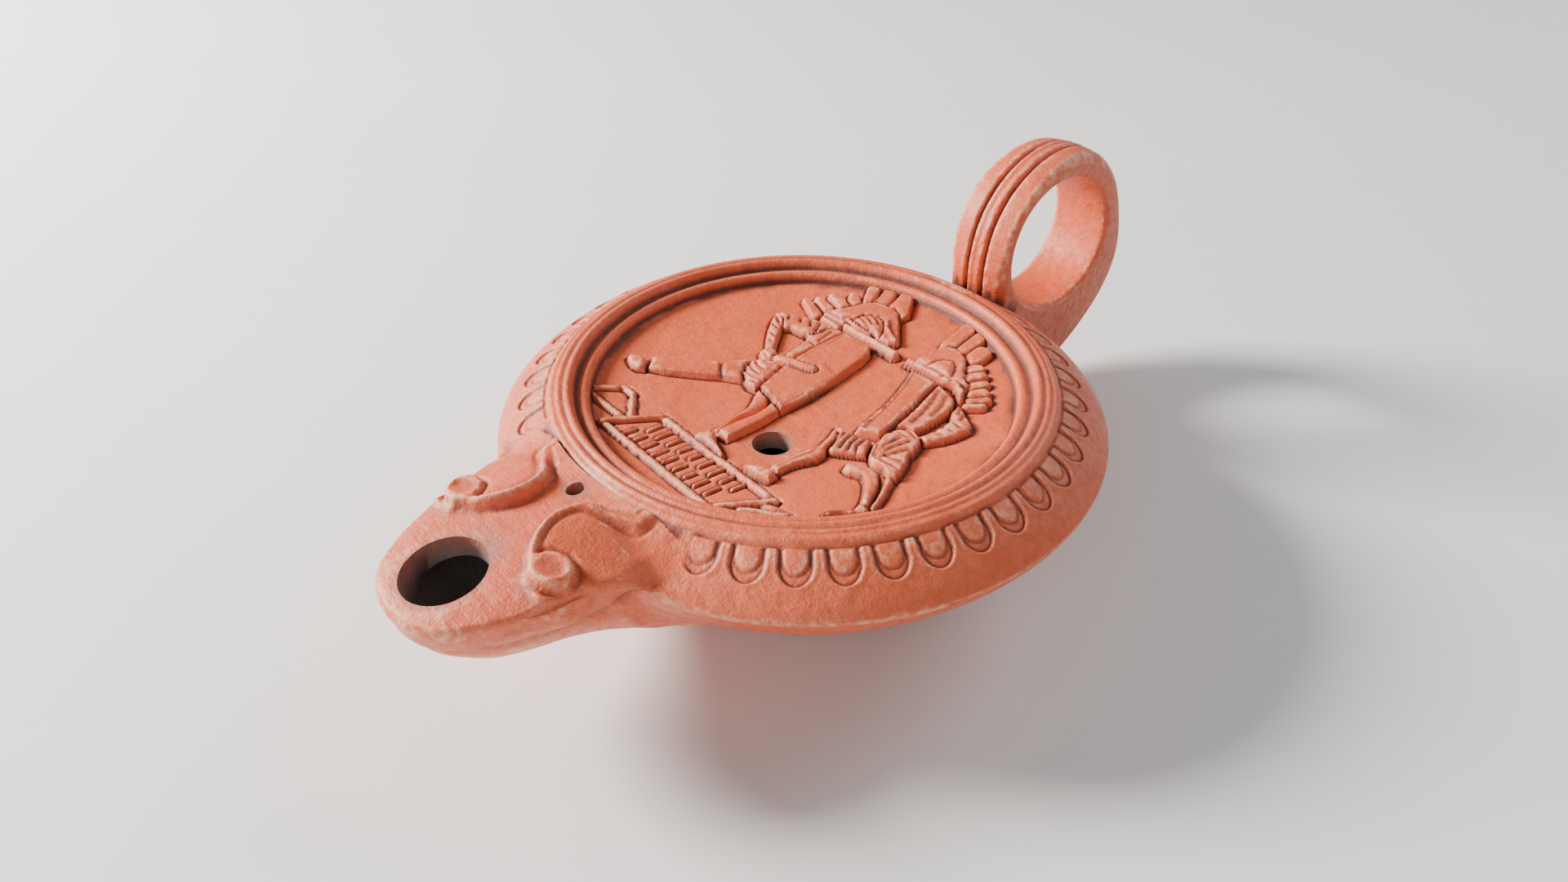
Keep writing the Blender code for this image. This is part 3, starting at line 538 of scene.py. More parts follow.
def bowlHeight(radius):
    # underside of the body, by distance from the axis
    share = np.clip((radius - lamp["baseRadius"]) / (lamp["bodyRadius"] - lamp["baseRadius"]), 0.0, 1.0)
    rise = 1.0 - (1.0 - share) ** (1.0 / lamp["bowlCurve"])
    beyond = np.clip(radius - lamp["bodyRadius"], 0.0, None)
    return lamp["widestHeight"] * rise + 4.0 * beyond


def voluteHeight(u, v, crown):
    # pads at both sides of the channel, in spans over the ring
    inward = -shapeDistance(u, v, volute["edge"] + volute["outside"])
    pad = volute["height"] - volute["fall"] * np.clip(u - 0.09, 0.0, None) ** 1.25
    pad = pad - 0.12 * np.clip(-1.30 - v, 0.0, None)
    pad = pad - 0.35 * np.clip(u - 0.38, 0.0, None) * easeBetween(-1.22, -1.08, v)
    pad = pad - 0.014 * easeBetween(-1.12, -1.05, v) * easeBetween(0.10, 0.30, u)
    height = crown + (pad - crown) * easeBetween(-0.012, 0.040, inward)
    # rounded lip along the channel, with a fine line at each side
    along = 1.0 - easeBetween(0.25, 0.31, u) * (v < -1.20)
    nearRim = easeBetween(-1.12, -1.05, v)
    lipWidth = 0.015 - 0.005 * nearRim
    lip = (volute["lip"] - 0.006 * nearRim) * along * np.exp(-((inward - 0.020) / lipWidth) ** 2)
    height = height + lip
    height = height - (0.005 + 0.008 * nearRim) * along * np.exp(-((inward - 0.050) / 0.010) ** 2)
    height = height - (0.001 + 0.009 * nearRim) * along * np.exp(-((inward + 0.010) / 0.008) ** 2)
    # band that leaves the knob and runs out to the nozzle's side
    tail = barDistance(u, v, (0.235, -1.404), (0.318, -1.420), 0.022, 0.016)
    return height + 0.012 * easeBetween(0.012, -0.018, tail)


def knobHeight(u, v, height):
    # tilted oval eye at the end of each volute, its rim raised on the outer side
    kx, ky = volute["knob"]
    c, s = math.cos(volute["knobTurn"]), math.sin(volute["knobTurn"])
    along = ((u - kx) * c + (v - ky) * s) / volute["knobLong"]
    across = (-(u - kx) * s + (v - ky) * c) / volute["knobShort"]
    away = np.hypot(along, across)
    top = volute["knobHeight"] - volute["knobFall"] * (u - kx)
    heading = np.arctan2(v - ky, u - kx)
    crescent = 0.35 + 0.65 * easeBetween(2.2, 0.6, np.abs(heading - 0.35))
    top = top + 0.008 * crescent * np.exp(-((away - 0.76) / 0.15) ** 2)
    top = top - 0.003 * easeBetween(0.60, 0.30, away)
    height = height - 0.009 * np.exp(-((away - 1.12) / 0.12) ** 2) * easeBetween(-2.0, -0.9, heading)
    rise = roundOver((1.0 - away) / 0.30) * (away < 1.0)
    return height + np.maximum(top - height, 0.0) * rise


def bowDistance(across, out, half, length):
    # signed distance to a strip with a round end, negative inside
    atEnd = np.hypot(across, out - length + half) - half
    return np.where(out > length - half, atEnd, np.abs(across) - half)


def eggPattern(x, y):
    # each egg is a sunk field with a raised pad, and fine lines round both
    radius = np.hypot(x, y)
    angle = np.degrees(np.arctan2(np.abs(x), -y))
    index = np.clip(np.round((angle - eggs["first"]) / eggs["pitch"]), 0, eggs["count"] - 1)
    middle = eggs["first"] + eggs["pitch"] * index
    across = np.radians(angle - middle) * radius
    out = radius - span
    half = eggs["half"]
    bow = -bowDistance(across, out, half, eggs["length"])
    inside = -bowDistance(across, out, eggs["padHalf"], eggs["padLength"])
    sunk = easeBetween(0.0, 0.00026, bow)
    pad = easeBetween(-0.00030, 0.00005, inside)
    line = 0.00024 * np.exp(-((bow - 0.00008) / 0.00020) ** 2)
    inner = 0.00010 * np.exp(-((inside + 0.00020) / 0.00020) ** 2)
    swell = 0.00010 * np.exp(-((bow + 0.00035) / 0.00030) ** 2)
    begins = easeBetween(0.00002, 0.00028, out) * (out > 0.0)
    pattern = (-eggs["depth"] * (sunk - 0.85 * pad) - line - inner + swell) * begins
    border = 0.00024 * np.exp(-((out - 0.00005) / 0.00020) ** 2)
    return pattern - border


def nozzleSurface(x, y):
    # top of the nozzle with volutes, and its rounded edge
    u, v = np.abs(x) / span, y / span
    crown = fromTable(nozzle["topLine"], v)
    edge = fromTable(nozzle["edgeLine"], v)
    half = np.maximum(np.interp(y, nozzleYs, nozzleWidths) / span, 0.02)
    rolled = easeBetween(-1.30, -1.50, v) * np.clip(u / half, 0.0, 1.2) ** 4.0
    crown = crown + (edge + 0.004 - crown) * rolled
    surface = voluteHeight(u, v, crown)
    surface = knobHeight(u, v, surface)
    inward = nozzleEdgeDistance(x, y)
    low = ringHeight + span * edge - 0.0006
    rise = np.maximum(ringHeight + span * surface - low, 0.0)
    top = low + rise * roundOver(inward / nozzle["edgeRound"])
    return np.where(inward > 0.0, top, low + nozzle["flankFall"] * inward)


def topHeight(x, y):
    # upper surface outside the rim
    radius = np.hypot(x, y)
    body = shoulderHeight(radius) - nozzle["flankFall"] * np.clip(radius - lamp["bodyRadius"], 0.0, None)
    near = easeBetween(-0.70, -0.86, y / span) * easeBetween(0.78, 0.62, np.abs(x) / span)
    merged = softMax(nozzleSurface(x, y), body, 0.0028)
    return body + (merged - body) * near


def bodyProfileTable():
    # ring by ring: a label for the zone and the ring's own parameter
    rings = [("disc", r) for r in np.linspace(0.0004, lamp["discRadius"] - 0.0001, 96)]
    rings += [("rim", r) for r in np.linspace(lamp["discRadius"], span, 36)[0:-1]]
    rings += [("top", u) for u in 1.0 - (1.0 - np.linspace(0.0, 1.0, 84)) ** 1.25]
    rings += [("low", u) for u in np.linspace(0.0, 1.0, 42)[1:] ** 2.0]
    rings += [("base", r) for r in (0.0208, 0.0202, 0.0198, 0.0194, 0.0190, 0.0184, 0.0120, 0.0004)]
    return rings


blankStep = 0.001    # from ring to ring, before they are moved to their places


def turnedBlank(name, ringCount, steps):
    # a flat disc of rings, spun from one row of points
    bm = bmesh.new()
    row = [bm.verts.new((blankStep * (i + 1), 0.0, 0.0)) for i in range(ringCount)]
    line = [bm.edges.new(pair) for pair in zip(row, row[1:])]
    bmesh.ops.spin(bm, geom=row + line, cent=(0, 0, 0), axis=(0, 0, 1), angle=math.tau, steps=steps // 8,
                   use_merge=True)
    around = [e for e in bm.edges if abs(e.verts[0].co.length - e.verts[1].co.length) < 0.0004]
    bmesh.ops.subdivide_edges(bm, edges=around, cuts=7, use_grid_fill=True)
    mesh = bpy.data.meshes.new(name)
    bm.to_mesh(mesh)
    bm.free()
    return mesh


def lampSkin():
    rings = bodyProfileTable()
    mesh = turnedBlank("lampBody", len(rings), lamp["turns"])
    count = len(mesh.vertices)
    points = readings(mesh.vertices, "co", 3)
    ring = np.round(np.hypot(points[:, 0], points[:, 1]) / blankStep).astype(int) - 1
    ring = np.clip(ring, 0, len(rings) - 1)
    angle = np.arctan2(points[:, 0], -points[:, 1])
    zones = np.array([z for z, _ in rings])[ring]
    values = np.array([v for _, v in rings])[ring]
    reach = outlineRadius(angle)
    wayX, wayY = np.sin(angle), -np.cos(angle)
    radius = values.copy()
    top = zones == "top"
    low = zones == "low"
    radius[top] = span + (reach[top] - span) * values[top]
    radius[low] = reach[low] + (lamp["baseRadius"] - reach[low]) * values[low]
    x, y = wayX * radius, wayY * radius
    z = np.zeros(count)

    disc = zones == "disc"
    z[disc] = discGround(radius[disc]) + discRelief(x[disc], y[disc])
    rim = zones == "rim"
    tableR, tableZ = smoothTable(rimProfile)
    z[rim] = ringHeight + 0.001 * np.interp(radius[rim] / span, tableR, tableZ)
    print("lamp: figures on the disc")

    z[top] = topHeight(x[top], y[top])
    away = easeBetween(*eggs["fade"], np.degrees(np.abs(angle[top])))
    z[top] += eggPattern(x[top], y[top]) * away
    waist = topHeight(wayX * reach, wayY * reach)

    # underside: bowl of the body and keel of the nozzle, which starts with an upright band
    bowl = bowlHeight(radius[low])
    yLow = y[low]
    keel = keelHeight(yLow)
    half = np.interp(yLow, nozzleYs, nozzleWidths)
    offset = np.clip(np.abs(x[low]) / np.maximum(half - nozzle["bandWidth"], 1e-5), 0.0, 1.0)
    fadeStart, fadeEnd = nozzle["sideFade"]
    onNozzle = easeBetween(lamp["bodyRadius"] + fadeStart, lamp["bodyRadius"] + fadeEnd, reach[low])
    band = fromTable(nozzle["sideBand"], (reach[low] - radius[low]) * 1000.0) * 0.001
    side = waist[low] + band * onNozzle
    nose = np.sqrt(easeBetween(nozzle["bandWidth"], nozzle["noseRound"], yLow + nozzle["keelReach"]))
    belly = side - np.maximum(side - keel, 0.0) * (1.0 - offset ** 2) ** 0.62 * nose
    belly = np.where(yLow > nozzle["keelEnd"], 1.0, belly)
    z[low] = -softMax(-bowl, -belly, 0.0016)
    z[low] = np.clip(np.minimum(z[low], side), 0.0, None)
    base = zones == "base"
    z[base] = fromTable(lamp["baseLine"], radius[base])

    places = np.stack([x, y, z], axis=1)
    mesh.vertices.foreach_set("co", places.ravel())
    mesh.update()
    bm = bmesh.new()
    bm.from_mesh(mesh)
    edges = [e for e in bm.edges if e.is_boundary]
    bmesh.ops.holes_fill(bm, edges=edges, sides=0)
    bmesh.ops.recalc_face_normals(bm, faces=bm.faces)
    bmesh.ops.triangulate(bm, faces=bm.faces)
    bm.to_mesh(mesh)
    bm.free()
    skin = bpy.data.objects.new("lampBody", mesh)
    bpy.context.scene.collection.objects.link(skin)
    return skin


# handle

handle = {
    "centre": (0.0567, 0.0317),
    "holeLong": 0.0142,
    "holeShort": 0.0114,
    "holeTilt": 155.0,
    # thickness of the ring, at equal turns
    "band": (0.0061, 0.0054, 0.0052, 0.0042, 0.0031, 0.0027,
             0.0036, 0.0070, 0.0171, 0.0154, 0.0120, 0.0096),
    "halfWidth": 0.0057,
    "edge": 0.0021,
    "groove": 0.0016,
    "grooveWidth": 0.00034,
    "grooveDepth": 0.00085,
    "middleLine": 0.18,      # share of a groove's depth
    "crown": 0.0004,
    "inset": 0.00015,
    "stations": 250,
    "facePoints": 44,
    "cornerSteps": 7,
    "innerParts": 9,
}


def handleReach(turn):
    # finger hole and band, by direction seen from the side
    local = turn - math.radians(handle["holeTilt"])
    a, b = handle["holeLong"], handle["holeShort"]
    inner = a * b / math.hypot(b * math.cos(local), a * math.sin(local))
    band = handle["band"]
    place = (turn / math.tau) * len(band)
    first = int(math.floor(place)) % len(band)
    share = place - math.floor(place)
    before, here = band[first - 1], band[first]
    after, beyond = band[(first + 1) % len(band)], band[(first + 2) % len(band)]
    cube, square = share ** 3, share ** 2
    value = here * (2 * cube - 3 * square + 1) + 0.5 * (after - before) * (cube - 2 * square + share)
    value += after * (3 * square - 2 * cube) + 0.5 * (beyond - here) * (cube - square)
    return inner, value


def turnCorner(section, cx, cy, size, first, steps):
    # a quarter turn or part of one, from a starting direction in degrees
    for step in steps:
        angle = math.radians(first - 90.0 * step / handle["cornerSteps"])
        section.append((cx + size * math.cos(angle), cy + size * math.sin(angle)))


def handleSection(turn):
    # outer face with its grooves from left to right, then round the corners and back along the inner face
    inner, band = handleReach(turn)
    outer = inner + band - handle["inset"]
    corner = outer - handle["crown"]
    half = handle["halfWidth"]
    edge = min(handle["edge"], 0.45 * band)
    innerEdge = 0.6 * edge
    face = half - edge
    grooves = ((-handle["groove"], 1.0), (handle["groove"], 1.0), (0.0, handle["middleLine"]))
    section = []
    for index in range(handle["facePoints"]):
        x = face * (2.0 * index / (handle["facePoints"] - 1) - 1.0)
        deep = 0.0
        for place, share in grooves:
            deep += share * math.exp(-((x - place) / handle["grooveWidth"]) ** 2)
        section.append((x, outer - handle["crown"] * (x / face) ** 2 - handle["grooveDepth"] * deep))
    whole = range(handle["cornerSteps"] + 1)
    turnCorner(section, face, corner - edge, edge, 90.0, whole[1:])
    turnCorner(section, half - innerEdge, inner + innerEdge, innerEdge, 0.0, whole)
    parts = handle["innerParts"]
    for index in range(1, parts):
        section.append(((half - innerEdge) * (1.0 - 2.0 * index / float(parts)), inner))
    turnCorner(section, innerEdge - half, inner + innerEdge, innerEdge, -90.0, whole)
    turnCorner(section, -face, corner - edge, edge, 180.0, whole[:-1])
    return section


def handleSkin():
    # one section pulled round the finger hole and joined to its start
    bm = bmesh.new()
    count = len(handleSection(0.0))
    stations = handle["stations"]
    middleY, middleZ = handle["centre"]
    bmesh.ops.create_circle(bm, segments=count, radius=0.001)
    loop = sorted(bm.verts, key=lambda v: math.atan2(v.co.y, v.co.x) % math.tau)
    rings = []
    for station in range(stations):
        turn = math.tau * station / stations
        if station:
            edges = [bm.edges.get((loop[i], loop[i - 1])) for i in range(count)]
            made = bmesh.ops.extrude_edge_only(bm, edges=edges)["geom"]
            fresh = {}
            for item in made:
                if isinstance(item, bmesh.types.BMVert):
                    old = [e.other_vert(item) for e in item.link_edges if e.other_vert(item) in rings[-1]]
                    fresh[old[0]] = item
            loop = [fresh[v] for v in loop]
        for vert, (x, radius) in zip(loop, handleSection(turn)):
            vert.co = (x, middleY + radius * math.cos(turn), middleZ + radius * math.sin(turn))
        rings.append(dict.fromkeys(loop))
    ends = []
    for ring in (list(rings[0]), list(rings[-1])):
        ends += [bm.edges.get(pair) for pair in zip(ring, ring[1:] + ring[:1])]
    bmesh.ops.bridge_loops(bm, edges=ends)
    return toolObject("handleForm", bm)


# hollows

hollow = {
    "chamberSteps": 72,
    "wickSteps": 72,
    "fillSteps": 48,
    "airSteps": 20,
    "airOval": 1.15,
    "wickRun": (0.0195, 0.0300),    # lower and upper end of each drill
    "fillRun": (0.0190, 0.0300),
    "airRun": (0.0215, 0.0310),
    "drillRings": 30,
    "channelSides": 28,
    "channelReach": 0.0675,
    "channelRound": 0.008,
    "channelHalf": 0.0115,
    "channelTop": 0.0242,
}


def chamberForm():
    # oil chamber: one profile spun round the axis
    wall = lamp["wall"]
    roof = float(discGround(np.array([0.0]))[0]) - wall
    profile = [(0.0, roof), (0.020, roof + 0.0004), (0.0314, roof + 0.0015), (0.038, ringHeight - wall),
               (0.0415, 0.0236), (0.0425, lamp["widestHeight"])]
    belly = lamp["bodyRadius"] - lamp["baseRadius"]
    for share in (0.88, 0.8, 0.68, 0.55, 0.42, 0.3, 0.15):
        radius = lamp["baseRadius"] + belly * (1.0 - (1.0 - share) ** lamp["bowlCurve"])
        height = lamp["widestHeight"] * share + 0.3 * wall + 0.0021 * (share < 0.2)
        profile.append((radius - wall, height))
    profile += [(0.0175, wall), (0.0, wall)]
    bm = bmesh.new()
    row = [bm.verts.new((r, 0.0, z)) for r, z in profile]
    line = [bm.edges.new(pair) for pair in zip(row, row[1:])]
    bmesh.ops.spin(bm, geom=row + line, cent=(0, 0, 0), axis=(0, 0, 1), angle=math.tau,
                   steps=hollow["chamberSteps"], use_merge=True)
    bmesh.ops.remove_doubles(bm, verts=bm.verts, dist=1e-6)
    return toolObject("chamberForm", bm)


def channelForm():
    # flame channel: rings pulled along the nozzle
    bm = bmesh.new()
    count = hollow["channelSides"]
    bmesh.ops.create_circle(bm, segments=count, radius=0.001, cap_ends=True)
    loop = sorted(bm.verts, key=lambda v: math.atan2(v.co.y, v.co.x) % math.tau)
    face = bm.faces[:]
    wall = lamp["wall"]
    tip = wall - hollow["channelReach"]
    stations = [tip + step for step in (0.0004, 0.0012, 0.003, 0.006, 0.010, 0.015)]
    for number, y in enumerate(stations + [-0.046, -0.040, -0.034, -0.026]):
        if number:
            face = bmesh.ops.extrude_discrete_faces(bm, faces=face)["faces"]
            loop = list(face[0].verts)
        half = max(float(np.interp(y, nozzleYs, nozzleWidths)) - wall, 0.001)
        closing = math.sqrt(max(1.0 - (1.0 - min((y - tip) / hollow["channelRound"], 1.0)) ** 2, 0.05))
        half = min(half, hollow["channelHalf"]) * closing
        top = ringHeight + span * float(fromTable(nozzle["topLine"], y / span)) - wall
        top = min(top, hollow["channelTop"])
        bottom = float(keelHeight(y)) + wall
        middle = 0.5 * (top + bottom)
        tall = 0.5 * (top - bottom) * closing
        for index, vert in enumerate(loop):
            turn = math.tau * index / count
            c, s = math.cos(turn), math.sin(turn)
            out, up = math.copysign(abs(c) ** 0.8, c), math.copysign(abs(s) ** 0.8, s)
            vert.co = (half * out, y, middle + tall * up)
    bmesh.ops.holes_fill(bm, edges=[e for e in bm.edges if e.is_boundary], sides=0)
    return toolObject("channelForm", bm)


def drillForm(name, place, radius, run, steps, oval=1.0):
    low, high = run
    bm = bmesh.new()
    bmesh.ops.create_cone(bm, cap_ends=True, segments=steps, radius1=radius, radius2=radius,
                          depth=high - low)
    upright = [e for e in bm.edges if abs(e.verts[0].co.z - e.verts[1].co.z) > 0.5 * (high - low)]
    bmesh.ops.subdivide_edges(bm, edges=upright, cuts=hollow["drillRings"], use_grid_fill=True)
    bmesh.ops.scale(bm, verts=bm.verts, vec=(1.0, oval, 1.0))
    bmesh.ops.translate(bm, verts=bm.verts, vec=(*place, 0.5 * (low + high)))
    return toolObject(name, bm)


def toolObject(name, bm):
    bmesh.ops.recalc_face_normals(bm, faces=bm.faces)
    mesh = bpy.data.meshes.new(name)
    bm.to_mesh(mesh)
    bm.free()
    item = bpy.data.objects.new(name, mesh)
    bpy.context.scene.collection.objects.link(item)
    return item


# fired clay

clay = {
    "salmon": (0.620, 0.098, 0.032),
    "pink": (0.700, 0.130, 0.050),
    "dust": (0.500, 0.068, 0.020),
    "brown": (0.075, 0.018, 0.012),
    # cream is the colour of painted highlight and wear on crests and the listed spots
    "cream": (0.86, 0.43, 0.25),
    # charcoal and the brown below are soot in the wick hole and painted shade deeper inside the holes
    "charcoal": (0.170, 0.157, 0.146),
    "sootAndShadeBrown": (0.175, 0.146, 0.128),
    # brown is the colour of painted shade in the hollows
    "inner": (0.05, 0.04, 0.04),
    "shadeOnNozzle": 0.55,
    "fineEdges": (0.0026, 0.0011),    # longer edges say nothing about fine hollows
    "nearSink": 0.00006,
    "wideSink": 0.00014,
    "smoke": 0.10,
    "smokeReach": 0.0012,
    # spots of painted highlight and wear: place, reach and strength
    "sheenAndWearSpots": [(-0.02, -0.972, 0.17, 0.026, 1.7), (-0.03, 0.960, 0.13, 0.030, 1.7),
                  (-0.10, -1.748, 0.16, 0.022, 1.2), (-0.25, -1.405, 0.045, 0.03, 1.1),
                  (0.225, -1.405, 0.04, 0.03, 1.3)],
    "roughness": 0.50,
    "gloss": 0.42,
    "coat": 0.10,
    "coatRoughness": 0.42,
    "grainSize": 2600.0,
    "mottleSize": 90.0,
    "bump": 0.24,
    "grainDepth": 0.00012,
}


def groupSocket(group, name, kind, way="INPUT"):
    group.interface.new_socket(name=name, in_out=way, socket_type=kind)


def addNode(tree, kind, place, inputs=None, **values):
    node = tree.nodes.new(kind)
    node.location = place
    for key, value in values.items():
        setattr(node, key, value)
    for key, value in (inputs or {}).items():
        node.inputs[key].default_value = value
    return node


def mottleGroup():
    # large soft patches from the firing, and small specks
    if "clayMottle" in bpy.data.node_groups:
        return bpy.data.node_groups["clayMottle"]
    group = bpy.data.node_groups.new("clayMottle", "ShaderNodeTree")
    groupSocket(group, "Vector", "NodeSocketVector")
    groupSocket(group, "Size", "NodeSocketFloat")
    groupSocket(group, "Patches", "NodeSocketFloat", "OUTPUT")
    groupSocket(group, "Specks", "NodeSocketFloat", "OUTPUT")
    source = addNode(group, "NodeGroupInput", (-600, 0))
    target = addNode(group, "NodeGroupOutput", (600, 0))
    noise = addNode(group, "ShaderNodeTexNoise", (-300, 100), {"Detail": 5.0, "Roughness": 0.62})
    finer = addNode(group, "ShaderNodeMath", (-480, -160), {1: 9.0}, operation="MULTIPLY")
    specks = addNode(group, "ShaderNodeTexNoise", (-300, -160), {"Detail": 3.0})
    ramp = addNode(group, "ShaderNodeMapRange", (0, 100), {"From Min": 0.34, "From Max": 0.66})
    speckRamp = addNode(group, "ShaderNodeMapRange", (0, -160), {"From Min": 0.40, "From Max": 0.68})
    link = group.links.new
    link(source.outputs["Vector"], noise.inputs["Vector"])
    link(source.outputs["Size"], noise.inputs["Scale"])
    link(source.outputs["Size"], finer.inputs[0])
    link(source.outputs["Vector"], specks.inputs["Vector"])
    link(finer.outputs[0], specks.inputs["Scale"])
    link(noise.outputs["Fac"], ramp.inputs["Value"])
    link(specks.outputs["Fac"], speckRamp.inputs["Value"])
    link(ramp.outputs[0], target.inputs["Patches"])
    link(speckRamp.outputs[0], target.inputs["Specks"])
    return group


def grainGroup():
    # fine grain and the drag of a wet brush
    group = bpy.data.node_groups.new("clayGrain", "ShaderNodeTree")
    groupSocket(group, "Vector", "NodeSocketVector")
    groupSocket(group, "Size", "NodeSocketFloat")
    groupSocket(group, "Height", "NodeSocketFloat", "OUTPUT")
    source = addNode(group, "NodeGroupInput", (-800, 0))
    target = addNode(group, "NodeGroupOutput", (500, 0))
    grain = addNode(group, "ShaderNodeTexNoise", (-400, 200), {"Detail": 4.0, "Roughness": 0.6})
    stretch = addNode(group, "ShaderNodeMapping", (-600, -120),
                      {"Rotation": (0.3, 0.2, 0.75), "Scale": (0.10, 0.75, 0.55)})
    streaks = addNode(group, "ShaderNodeTexNoise", (-400, -120), {"Detail": 3.0})
    dents = addNode(group, "ShaderNodeMath", (-600, -380), {1: 0.16}, operation="MULTIPLY")
    lumps = addNode(group, "ShaderNodeTexNoise", (-400, -380), {"Detail": 2.0})
    first = addNode(group, "ShaderNodeMath", (-100, 60), {1: 0.75}, operation="MULTIPLY_ADD")
    second = addNode(group, "ShaderNodeMath", (120, 0), {1: 2.4}, operation="MULTIPLY_ADD")
    link = group.links.new
    link(source.outputs["Vector"], grain.inputs["Vector"])
    link(source.outputs["Size"], grain.inputs["Scale"])
    link(source.outputs["Vector"], stretch.inputs["Vector"])
    link(stretch.outputs[0], streaks.inputs["Vector"])
    link(source.outputs["Size"], streaks.inputs["Scale"])
    link(source.outputs["Size"], dents.inputs[0])
    link(source.outputs["Vector"], lumps.inputs["Vector"])
    link(dents.outputs[0], lumps.inputs["Scale"])
    link(streaks.outputs["Fac"], first.inputs[0])
    link(grain.outputs["Fac"], first.inputs[2])
    link(lumps.outputs["Fac"], second.inputs[0])
    link(first.outputs[0], second.inputs[2])
    link(second.outputs[0], target.inputs["Height"])
    return group


def mixColours(tree, place, fac, first, second):
    node = addNode(tree, "ShaderNodeMix", place, data_type="RGBA")
    tree.links.new(fac, node.inputs["Factor"])
    for number, colour in ((6, first), (7, second)):
        if isinstance(colour, tuple):
            node.inputs[number].default_value = (*colour, 1.0)
        else:
            tree.links.new(colour, node.inputs[number])
    return node.outputs[2]


def scaled(tree, place, value, low, high, toLow, toHigh):
    node = addNode(tree, "ShaderNodeMapRange", place,
                   {"From Min": low, "From Max": high, "To Min": toLow, "To Max": toHigh})
    tree.links.new(value, node.inputs["Value"])
    return node.outputs[0]


def combined(tree, place, operation, first, second):
    node = addNode(tree, "ShaderNodeMath", place, operation=operation)
    tree.links.new(first, node.inputs[0])
    tree.links.new(second, node.inputs[1])
    return node.outputs[0]


def terracotta():
    material = bpy.data.materials.new("terracotta")
    material.use_nodes = True
    tree = material.node_tree
    shader = tree.nodes["Principled BSDF"]
    place = addNode(tree, "ShaderNodeTexCoord", (-1700, 0)).outputs["Object"]
    mottle = addNode(tree, "ShaderNodeGroup", (-1400, 200), node_tree=mottleGroup())
    mottle.inputs["Size"].default_value = clay["mottleSize"]
    tree.links.new(place, mottle.inputs["Vector"])
    patches, specks = mottle.outputs["Patches"], mottle.outputs["Specks"]
    grain = addNode(tree, "ShaderNodeGroup", (-1400, -400), node_tree=grainGroup())
    grain.inputs["Size"].default_value = clay["grainSize"]
    tree.links.new(place, grain.inputs["Vector"])
    hollowed, crested, sootAndHoleShade = (
        addNode(tree, "ShaderNodeAttribute", (-1400, height), attribute_name=name).outputs["Fac"]
        for name, height in (("hollowed", -50), ("crested", 480), ("sootAndHoleShade", 700)))

    # firing patches, then dust, painted shade in the hollows, painted highlight and wear on the crests,
    # and soot with painted shade inside the holes
    base = mixColours(tree, (-1000, 200), patches, clay["salmon"], clay["pink"])
    dust = scaled(tree, (-1200, 40), specks, 0.0, 1.0, 0.0, 0.55)
    base = mixColours(tree, (-820, 200), dust, base, clay["dust"])
    # painted shade: sunk places are darkened towards brown
    paintedShade = scaled(tree, (-1200, -100), hollowed, 0.10, 0.85, 0.0, 0.95)
    base = mixColours(tree, (-640, 200), paintedShade, base, clay["brown"])
    # painted highlight and wear: crests and the listed spots are lightened towards cream
    creamBreakup = scaled(tree, (-1200, 560), specks, 0.0, 0.8, 0.45, 1.0)
    sheenAndWear = combined(tree, (-1000, 480), "MULTIPLY", crested, creamBreakup)
    sheenAndWear = scaled(tree, (-820, 480), sheenAndWear, 0.42, 1.0, 0.0, 0.70)
    base = mixColours(tree, (-460, 200), sheenAndWear, base, clay["cream"])
    # soot and painted shade inside the holes
    sootAndShade = mixColours(tree, (-640, 620), patches, clay["charcoal"], clay["sootAndShadeBrown"])
    base = mixColours(tree, (-280, 200), sootAndHoleShade, base, sootAndShade)
    tree.links.new(base, shader.inputs["Base Color"])

    smoothest, roughest = clay["roughness"] - 0.06, clay["roughness"] + 0.10
    rough = scaled(tree, (-820, -200), specks, 0.0, 1.0, smoothest, roughest)
    matt = scaled(tree, (-820, -360), paintedShade, 0.0, 1.0, 0.0, 0.22)
    rough = combined(tree, (-600, -200), "ADD", rough, matt)
    tree.links.new(rough, shader.inputs["Roughness"])
    bump = addNode(tree, "ShaderNodeBump", (-400, -450),
                   {"Strength": clay["bump"] * 4.0, "Distance": clay["grainDepth"]})
    tree.links.new(grain.outputs["Height"], bump.inputs["Height"])
    tree.links.new(bump.outputs["Normal"], shader.inputs["Normal"])
    shader.inputs["Specular IOR Level"].default_value = clay["gloss"]
    shader.inputs["Coat Weight"].default_value = clay["coat"]
    shader.inputs["Coat Roughness"].default_value = clay["coatRoughness"]
    return material


def plainMaterial(name, colour):
    # matt surface with a faint cloudiness
    material = bpy.data.materials.new(name)
    material.use_nodes = True
    tree = material.node_tree
    shader = tree.nodes["Principled BSDF"]
    place = addNode(tree, "ShaderNodeTexCoord", (-800, 0)).outputs["Object"]
    mottle = addNode(tree, "ShaderNodeGroup", (-600, 0), node_tree=mottleGroup())
    mottle.inputs["Size"].default_value = 12.0
    tree.links.new(place, mottle.inputs["Vector"])
    darker = tuple(0.97 * part for part in colour)
    cloudy = mixColours(tree, (-300, 0), mottle.outputs["Patches"], colour, darker)
    tree.links.new(cloudy, shader.inputs["Base Color"])
    shader.inputs["Roughness"].default_value = 0.85
    return material


# putting the lamp together

def carve(item, tool, operation):
    modifier = item.modifiers.new(tool.name, "BOOLEAN")
    modifier.object = tool
    modifier.operation = operation
    modifier.solver = "MANIFOLD"
    return modifier


def applied(item):
    graph = bpy.context.evaluated_depsgraph_get()
    mesh = bpy.data.meshes.new_from_object(item.evaluated_get(graph), preserve_all_data_layers=True,
                                           depsgraph=graph)
    item.modifiers.clear()
    old = item.data
    item.data = mesh
    bpy.data.meshes.remove(old)


def triangleCount(mesh):
    return sum(len(p.vertices) - 2 for p in mesh.polygons)


